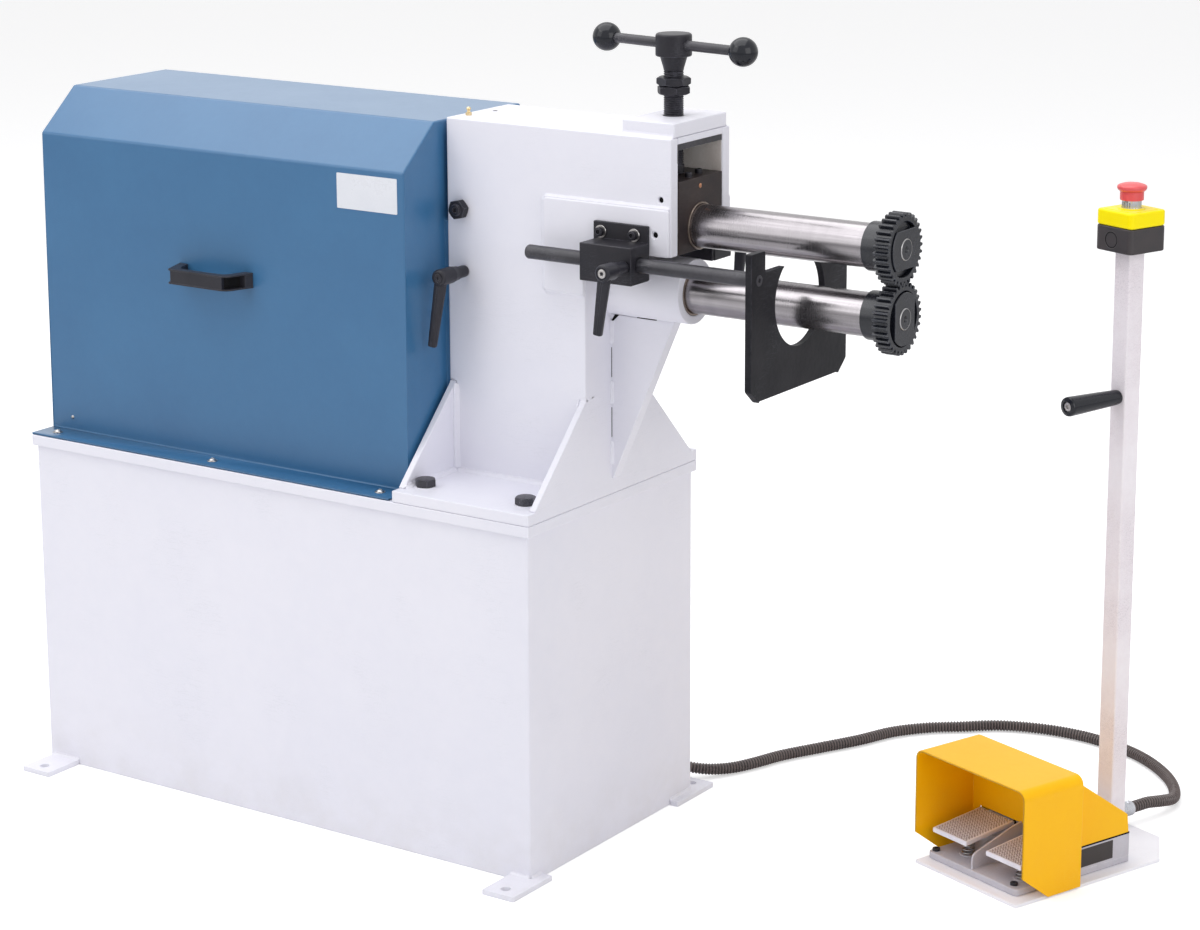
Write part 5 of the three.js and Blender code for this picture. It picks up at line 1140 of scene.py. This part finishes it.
def make_emergency_stop():
    """The box and lid are square plates with rounded corners, with knock-out rings on the sides, and a
    dark band of painted shade in the front ring's groove.
    The collar's radius carries 24 cosine flutes, and the button is a shallow turned mushroom."""
    outline = rounded(square_at(35), 9, 6)
    front_at, back_at = (POLE[0] - 3, 883.5), (POLE[0], 883.5)
    front, back = POLE[1] - 35, POLE[1] + 35
    ring = [(11.4, -0.1), (12.1, 0.35), (12.8, -0.1)]
    shells = [plate(outline, "z", 866.3, 901.9, 1.8, 4),
              turned(placed(ring, front, -1), "y", front_at, 48, True),
              turned(placed(ring, back), "y", back_at, 48, True)]
    put("stop_box_shell", on_stand(*shells), "box_plastic", replaces="estop_box")
    # A dark band in the knock-out ring's groove: painted shade.
    disc = placed([(11.7, 0.2), (11.7, -0.12), (10.3, -0.12), (10.3, 0.2)], front)
    put("stop_box_groove_shade", on_stand(turned(disc, "y", front_at, 48, True)), "dark_recess")

    panel = plate(rounded(square_at(28), 6, 4), "z", 924.2, 925.2, 0.5)
    rim = turned([(14.5, 925.1), (19.5, 925.1), (19, 926.4), (14.5, 926.6)], "z", POLE, 64, True)
    put("stop_lid_shell", on_stand(plate(outline, "z", 902.3, 924.6, 3.0, 5), panel, rim), "lid_yellow",
        replaces="estop_lid")
    angle = full_turn(192)
    flutes = 13.9 - 0.55 * (0.5 + 0.5 * np.cos(24 * angle))
    rings = [(13.9, 925), (13.9, 926.5), (flutes, 927.2), (flutes, 934.6), (13.9, 935.2), (13.9, 937.1)]
    put("stop_collar", on_stand(ringed("z", POLE, angle, rings)), "nickel")
    skirt = [(0, 946.5), (14.3, 946.5), (14.3, 937.4), (16.2, 937.4), (16.7, 938), (16.7, 948.8),
             (16.2, 949.6), (0, 949.6)]
    put("stop_plunger_skirt", on_stand(turned(skirt, "z", POLE, 64)), "red_plastic", "stop_plunger",
        replaces="estop_plunger")
    cap = [(0, 949.9), (17.5, 949.9), (19.6, 951.6), (20.9, 954), (21, 956.2), (20.4, 957.6), (19, 958.6),
           (16.5, 959.6), (12.5, 960.8), (8, 961.6), (3, 961.9), (0, 961.9)]
    put("stop_mushroom", on_stand(turned(cap, "z", POLE, 72)), "red_plastic", "stop_button",
        replaces="estop_button", sharp=70)


PEDAL_MIDDLES = {"left": -165, "right": -55}
SPRING_ACROSS, SPRING_W = 7, 58


def make_pedal_base():
    """The foot switch's cast base: plate, rear housing, fin with its rounded nose, ears and spring
    seats, with a bare plate on its side and a dark strip of painted shade in the seam under the hood."""
    fin = rounded([(23, 14.3), (133, 14.3), (133, 66), (108, 64), (23, 37)], [0.5, 0.5, 3, 14, 9], 8)
    shells = [plate(rounded(rectangle(-203, 20, -20, 240), [9, 9, 3, 3], 5), "z", 5.3, 15.3, 1.6, 3),
              slab((-203, 132, -20, 240), 3, "z", 14.4, 49.6, 1.0), plate(fin, "x", -115.2, -111.8, 0.8)]
    ear = rounded(rectangle(133, 48, 149, 64.6), 5, 4)
    seat = [(0, 15.2), (13, 15.2), (12.4, 16), (10.6, 16), (10.2, 15.5), (0, 15.5)]
    for middle in PEDAL_MIDDLES.values():
        shells += [plate(ear, "x", middle + low, middle + low + 6.6, 0.8) for low in (-29.8, 23.2)]
        shells.append(turned(seat, "z", (middle + SPRING_ACROSS, SPRING_W), 48))
    put("switch_base", on_stand(*shells), "cast_grey", replaces="pedal_base")
    screws = [socket_screw("z", at, 15.2, 19.4, 5.6, 5, 2.5, dome=0.2) for at in ((-195, 30), (-37, 32))]
    put("switch_base_screws", on_stand(*screws), "black_steel")
    # A dark strip in the seam under the hood: painted shade.
    put("switch_seam_shade", on_stand(slab((-201, 131.6, -19.4, 239.6), 3, "z", 48.0, 50.3, 0.4)), "dark_recess")
    put("switch_plain_plate", on_stand(slab((136, 18.5, 206, 45.5), 1, "x", -20.1, -19.4, 0.2)), "dark_label")


def make_pedals():
    """Each pedal is rings across it from front to back. Its top carries rows of small studs: the
    product of two cosines, shifted half a step on every other row and cut flat. The first points of
    each ring are its top, and painted shade lies between the studs. Its spring is a helix."""
    u = np.linspace(-34.4, 34.4, 87)
    w = np.linspace(27.4, 119.1, 116)
    row_step, stud_step = 7.0, 5.2
    rows = np.cos(2 * np.pi * u / row_step)[None]
    shift = 0.5 * (np.round(u / row_step) % 2)[None]
    studded = (np.abs(u) <= 31.5) & ((w >= 29.5) & (w <= 116))[:, None]
    studs = np.clip(0.2 + rows * np.cos(2 * np.pi * (w[:, None] / stud_step + shift)) * 1.9, 0, 1) * studded
    slope = (w - 27) / 92.5 * 10.6
    tongue = rounded([(112, 53.7), (146.5, 53.7), (147.8, 55), (147.8, 59), (146.5, 60.3), (112, 57)], 0.6)
    pin = [(0, -29.9), (2.6, -29.9), (3, -29.4), (3, 29.4), (2.6, 29.9), (0, 29.9)]
    turn = np.linspace(0, 6, 6 * 28 + 1)
    rise = 16.8 + np.interp(turn, [0, 1, 5, 6], [0, 1.9, 24.6, 26.8])
    radius = np.interp(turn, [0, 6], [8.6, 7.6])
    for side, middle in PEDAL_MIDDLES.items():
        rings = []
        for along, low, top in zip(w, 42.6 + slope, 49.2 + slope[:, None] + studs):
            drop = 0.7 if along in (w[0], w[-1]) else 0
            ring = [*zip(u, top - drop), (35, top[-1] - 1.0), (35, low + 1), (34.2, low), (-34.2, low),
                    (-35, low + 1), (-35, top[0] - 1.0)]
            rings.append([(middle + across, along, z) for across, z in ring])
        shells = [skin(rings), plate(tongue, "x", middle - 22, middle + 22, 0.6),
                  turned(placed(pin, middle), "x", (141, 57), 24)]
        pedal = put(side + "_pedal_plate", on_stand(*shells), "pedal_grey", side + "_pedal_body",
                    replaces=side + "_pedal", sharp=50)
        # Painted shade between the studs.
        painted_hollow_shade(pedal, np.pad((1 - studs) * studded, ((0, 0), (0, len(ring) - len(u)))))

        x = middle + SPRING_ACROSS
        helix = about("z", (x, SPRING_W), radius, 2 * np.pi * turn, rise)
        spring = put(side + "_pedal_spring", on_stand(swept(circle(1.05, 10), helix)), "plain_steel",
                     replaces=side + "_spring", sharp=60)
        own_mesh(spring)


def make_guard():
    """The guard and the hood are folded sheets given as corners and faces: the guard's arch with
    quarter-round shoulders and cut lower corners, and the hood's slope with its short back."""
    front, back, foot, end_top = 8, 120, 5, 62.5
    a = np.linspace(0, np.pi / 2, 7)
    arch = [(-203 - 14 * math.cos(t), 154 + 14 * math.sin(t)) for t in a]
    arch += [(-9 + 14 * math.sin(t), 154 + 14 * math.cos(t)) for t in a]
    n = len(arch)
    points = [(u, w, z) for w in (front, back) for u, z in arch]
    points += [(u, w, z) for u in (-217, 5)
               for w, z in ((front, 42), (57, foot), (back, foot), (back, end_top))]
    points += [(u, back, z) for u in (-200.6, -19.4) for z in (foot, end_top)]
    left, right, inner = 2 * n, 2 * n + 4, 2 * n + 8
    faces = [[i, i + 1, n + i + 1, n + i] for i in range(n - 1)]
    faces += [[left, left + 1, left + 2, left + 3, n, 0],
              [right, right + 1, right + 2, right + 3, 2 * n - 1, n - 1],
              [left + 3, *range(n, 2 * n), right + 3, inner + 3, inner + 1],
              [left + 2, left + 3, inner + 1, inner], [right + 2, right + 3, inner + 3, inner + 2]]
    shell = on_stand((np.array(points, float), faces))[0]
    put_sheet("guard_sheet", *shell, 3.0, 1.6, "guard_yellow", replaces="pedal_guard", limit=50)

    side = [(120.3, 50.1), (238, 50.1), (235, 77.5), (121.5, 157)]
    points = [(u, w, z) for u in (-200, -20) for w, z in side]
    faces = [[1, 2, 6, 5], [2, 3, 7, 6], [0, 1, 2, 3], [4, 5, 6, 7]]
    shell = on_stand((np.array(points, float), faces))[0]
    put_sheet("hood_sheet", *shell, 3.0, 1.8, "guard_yellow", replaces="pedal_hood")


def make_glands():
    """The two hose glands: a chamfered hexagon with a ribbed, turned sleeve on the pole, and an elbow
    with a short outlet on the cabinet's back."""
    face, at = POLE[1] + 15.3, (POLE[0], 24)
    hexagon = hex_nut("y", at, face, face + 8.6, 24.2, 5.4, turn=8)
    sleeve = [(5.2, 5), (10.2, 5), (10.2, 9.5), (11, 10.2), (11, 16), (10.3, 16.8), (10.3, 18), (11, 18.8),
              (11, 24.6), (10.2, 26), (7.6, 26), (5.2, 24)]
    shank = [(0, -7.6), (7.4, -7.6), (7.4, 1), (0, 1)]
    gland = on_stand(hexagon, turned(placed(sleeve, face), "y", at, 48, True),
                     turned(placed(shank, face), "y", at, 32))
    put("pole_hose_gland", gland, "nickel", replaces="pole_gland")

    elbow = plate(rounded(rectangle(298, 17.2, 322, 42.8), 4, 4), "y", 210.8, 251.8, 2.2, 4)
    outlet = [(5.2, 318), (11, 318), (11, 325.2), (10.4, 326), (11, 326.8), (11, 329), (10, 330), (5.2, 330)]
    shank = [(0, 203), (7.4, 203), (7.4, 212), (0, 212)]
    put("cabinet_hose_gland", [elbow, turned(outlet, "x", (239.5, 30), 48, True),
                               turned(shank, "y", (310, 30), 32)], "nickel", replaces="cabinet_gland")


# Camera, light and floor

def link_turned(name, data, side, up, back, at):
    """Links an object whose own axes point these three ways."""
    thing = bpy.data.objects.new(name, data)
    matrix = np.eye(4)
    matrix[:3] = np.stack([side, up, back, at], 1)
    thing.matrix_world = Matrix(matrix.tolist())
    bpy.context.scene.collection.objects.link(thing)
    return thing


def stand_camera():
    """The photograph's viewpoint, from its yaw, pitch and roll. Its lens gives 3090.6 pixels over
    a frame 1200 wide, and its axis meets the frame 125 pixels above the middle."""
    yaw, pitch, roll = np.radians([34.056, 12.737, -0.230])
    ahead = np.array([-math.sin(yaw) * math.cos(pitch), math.cos(yaw) * math.cos(pitch), -math.sin(pitch)])
    right = np.array([math.cos(yaw), math.sin(yaw), 0.0])
    up = np.cross(right, ahead)
    across = math.cos(roll) * right + math.sin(roll) * up
    above = -math.sin(roll) * right + math.cos(roll) * up
    data = bpy.data.cameras.new("camera")
    focal, wide = 3090.6, 1200
    data.lens, data.sensor_width = focal / wide * 36, 36
    data.shift_y = -125 / wide
    data.clip_start, data.clip_end = 0.1, 60
    camera = link_turned("camera", data, across, above, -ahead, (2.8211, -3.5240, 1.7026))
    bpy.context.scene.camera = camera


def light(name, at, towards, size, power):
    """A square soft lamp, turned to face a point."""
    data = bpy.data.lights.new(name, "AREA")
    data.size, data.energy = size, power
    at = np.array(at, float)
    back = (at - towards) / np.linalg.norm(at - towards)
    side = np.cross((0.02, 0.03, 1), back)
    side /= np.linalg.norm(side)
    link_turned(name, data, side, np.cross(back, side), back, at)


def seen_white(tree):
    """One where a ray comes from the camera, a mirror or glass, and nought where it gives light."""
    path = node(tree, "LightPath").outputs
    seen = times(tree, path["Is Camera Ray"], path["Is Glossy Ray"], "MAXIMUM")
    return times(tree, seen, path["Is Transmission Ray"], "MAXIMUM")


def make_studio():
    """White round the object where the camera or a gloss sees it, a dimmer level as light, a
    pale floor that keeps the shadow, and three soft lamps."""
    world = bpy.data.worlds.new("studio")
    bpy.context.scene.world = world
    world.use_nodes = True
    tree = world.node_tree
    level = spread(tree, seen_white(tree), 0.0, 1.0, 0.55, 1.0)
    feed(tree, tree.nodes["Background"], {0: (1, 1, 1, 1), 1: level})

    floor = skin([onto("z", *circle(14000, 64).T, z) for z in (-20, 0)])
    mesh = bpy.data.meshes.new("floor")
    mesh.from_pydata(floor[0] * MM, [], floor[1])
    pale = bpy.data.materials.new("pale_floor")
    pale.use_nodes = True
    tree = pale.node_tree
    seen = node(tree, "LightPath").outputs["Is Camera Ray"]
    feed(tree, tree.nodes["Principled BSDF"], {
        "Base Color": (0.86, 0.86, 0.87, 1), "Roughness": 0.9, "Specular IOR Level": 0.1,
        "Emission Color": (1, 1, 1, 1), "Emission Strength": times(tree, seen, 0.42)})
    mesh.materials.append(pale)
    floor = bpy.data.objects.new("floor", mesh)
    bpy.context.scene.collection.objects.link(floor)

    light("overhead", (-0.6, -0.2, 4.2), (0, 0, 0.6), 4.8, 140)
    light("front_left", (-2.4, -4.0, 3.2), (0, 0, 0.6), 3.8, 53)
    light("front_right", (4.6, -1.4, 2.2), (0.4, 0, 0.6), 3.2, 52)
    bpy.context.scene.view_settings.view_transform = "Standard"


# The hose

HOSE_START = np.array([1065.199, 465.120, 24.0])
HOSE_END = np.array([330.3, 239.5, 30.0])
HOSE_ROUTE = [
    (1087, 526, 19.5), (1090, 560, 13), (1075, 601, 9.6), (1048, 641, 9.6), (1004, 683.5, 9.6),
    (956, 714, 9.6), (899, 734, 9.6), (850, 741, 9.6), (788, 735.5, 9.6), (724, 712, 9.6), (677, 674, 9.6),
    (637, 642, 9.6), (599, 595, 9.6), (571, 530, 9.6), (537, 466, 9.6), (504, 403, 9.6), (485, 350, 9.6),
    (468, 314, 9.8), (446, 281, 13.5), (420, 257, 20.5), (394, 243.5, 27),
]


def hose_line(count):
    """The hose's centreline: straight out of each gland, and between them a smooth curve through
    the route. Each stretch is a cubic whose slopes weigh the steps before and after it by the
    square root of their lengths. The points come out evenly spaced."""
    out = np.array([-math.sin(math.radians(STAND_TURN)), math.cos(math.radians(STAND_TURN)), 0])
    back = np.array([1.0, 0, 0])
    knots = np.array([HOSE_START + 19 * out, HOSE_START + 34.2 * out, *HOSE_ROUTE,
                      HOSE_END + 34.2 * back, HOSE_END + 19 * back])
    padded = np.concatenate([[2 * knots[0] - knots[1]], knots, [2 * knots[-1] - knots[-2]]])
    p0, p1, p2, p3 = (padded[i:len(padded) - 3 + i] for i in range(4))
    d0, d1, d2 = (np.linalg.norm(b - a, axis=1, keepdims=True) ** 0.5
                  for a, b in ((p0, p1), (p1, p2), (p2, p3)))
    m1 = ((p1 - p0) / d0 - (p2 - p0) / (d0 + d1) + (p2 - p1) / d1) * d1
    m2 = ((p2 - p1) / d1 - (p3 - p1) / (d1 + d2) + (p3 - p2) / d2) * d1
    t = np.linspace(0, 1, 40, endpoint=False)[None, :, None]
    p1, p2, m1, m2 = (v[:, None] for v in (p1, p2, m1, m2))
    curve = p1 + m1 * t + (-3 * p1 + 3 * p2 - 2 * m1 - m2) * t ** 2 + (2 * p1 - 2 * p2 + m1 + m2) * t ** 3
    line = np.concatenate([[HOSE_START], curve.reshape(-1, 3), knots[-1:], [HOSE_END]])
    run = np.concatenate([[0], np.cumsum(np.linalg.norm(np.diff(line, axis=0), axis=1))])
    even = np.linspace(0, run[-1], count)
    return np.stack([np.interp(even, run, line[:, i]) for i in range(3)], 1), run[-1]


def make_hose():
    """A corrugated hose: a ring is carried along the line, and its radius goes between groove and
    ridge once every 5 mm, as a raised cosine pressed flat at its top and bottom."""
    ribs, steps, sides = 241, 6, 16
    line, length = hose_line(ribs * steps + 1)
    wave = np.cos(2 * np.pi * np.arange(len(line)) / steps + np.pi)
    radius = 7.95 + 0.95 * np.clip(wave * 1.3, -1, 1)
    shell = swept(circle(1.0, sides), line, radius)
    piece = put("ribbed_hose", [shell], "hose_rubber", replaces="hose", sharp=60)
    # Painted shade in the grooves between the ribs.
    painted_hollow_shade(piece, np.repeat(np.clip(0.5 - wave, 0, 1), sides))


stand_camera()
make_studio()
make_hose()
for make in (make_cabinet, make_cover, make_cover_handle, make_column, make_pivot_screws, make_bearing_tube,
             make_shafts, make_rolls, make_tilting_mount, make_adjuster, make_fence, make_clamp_blocks,
             make_levers, make_stand, make_emergency_stop, make_pedal_base, make_pedals, make_guard,
             make_glands):
    make()
for name, look in (("gear_motor", "motor_paint"), ("shaft_coupling", "plain_steel"),
                   ("lower_gear", "plain_steel"), ("upper_gear", "plain_steel"),
                   ("screw_foot", "black_steel"), ("rear_pivot_block", "oily_block")):
    finish_node(name, look)
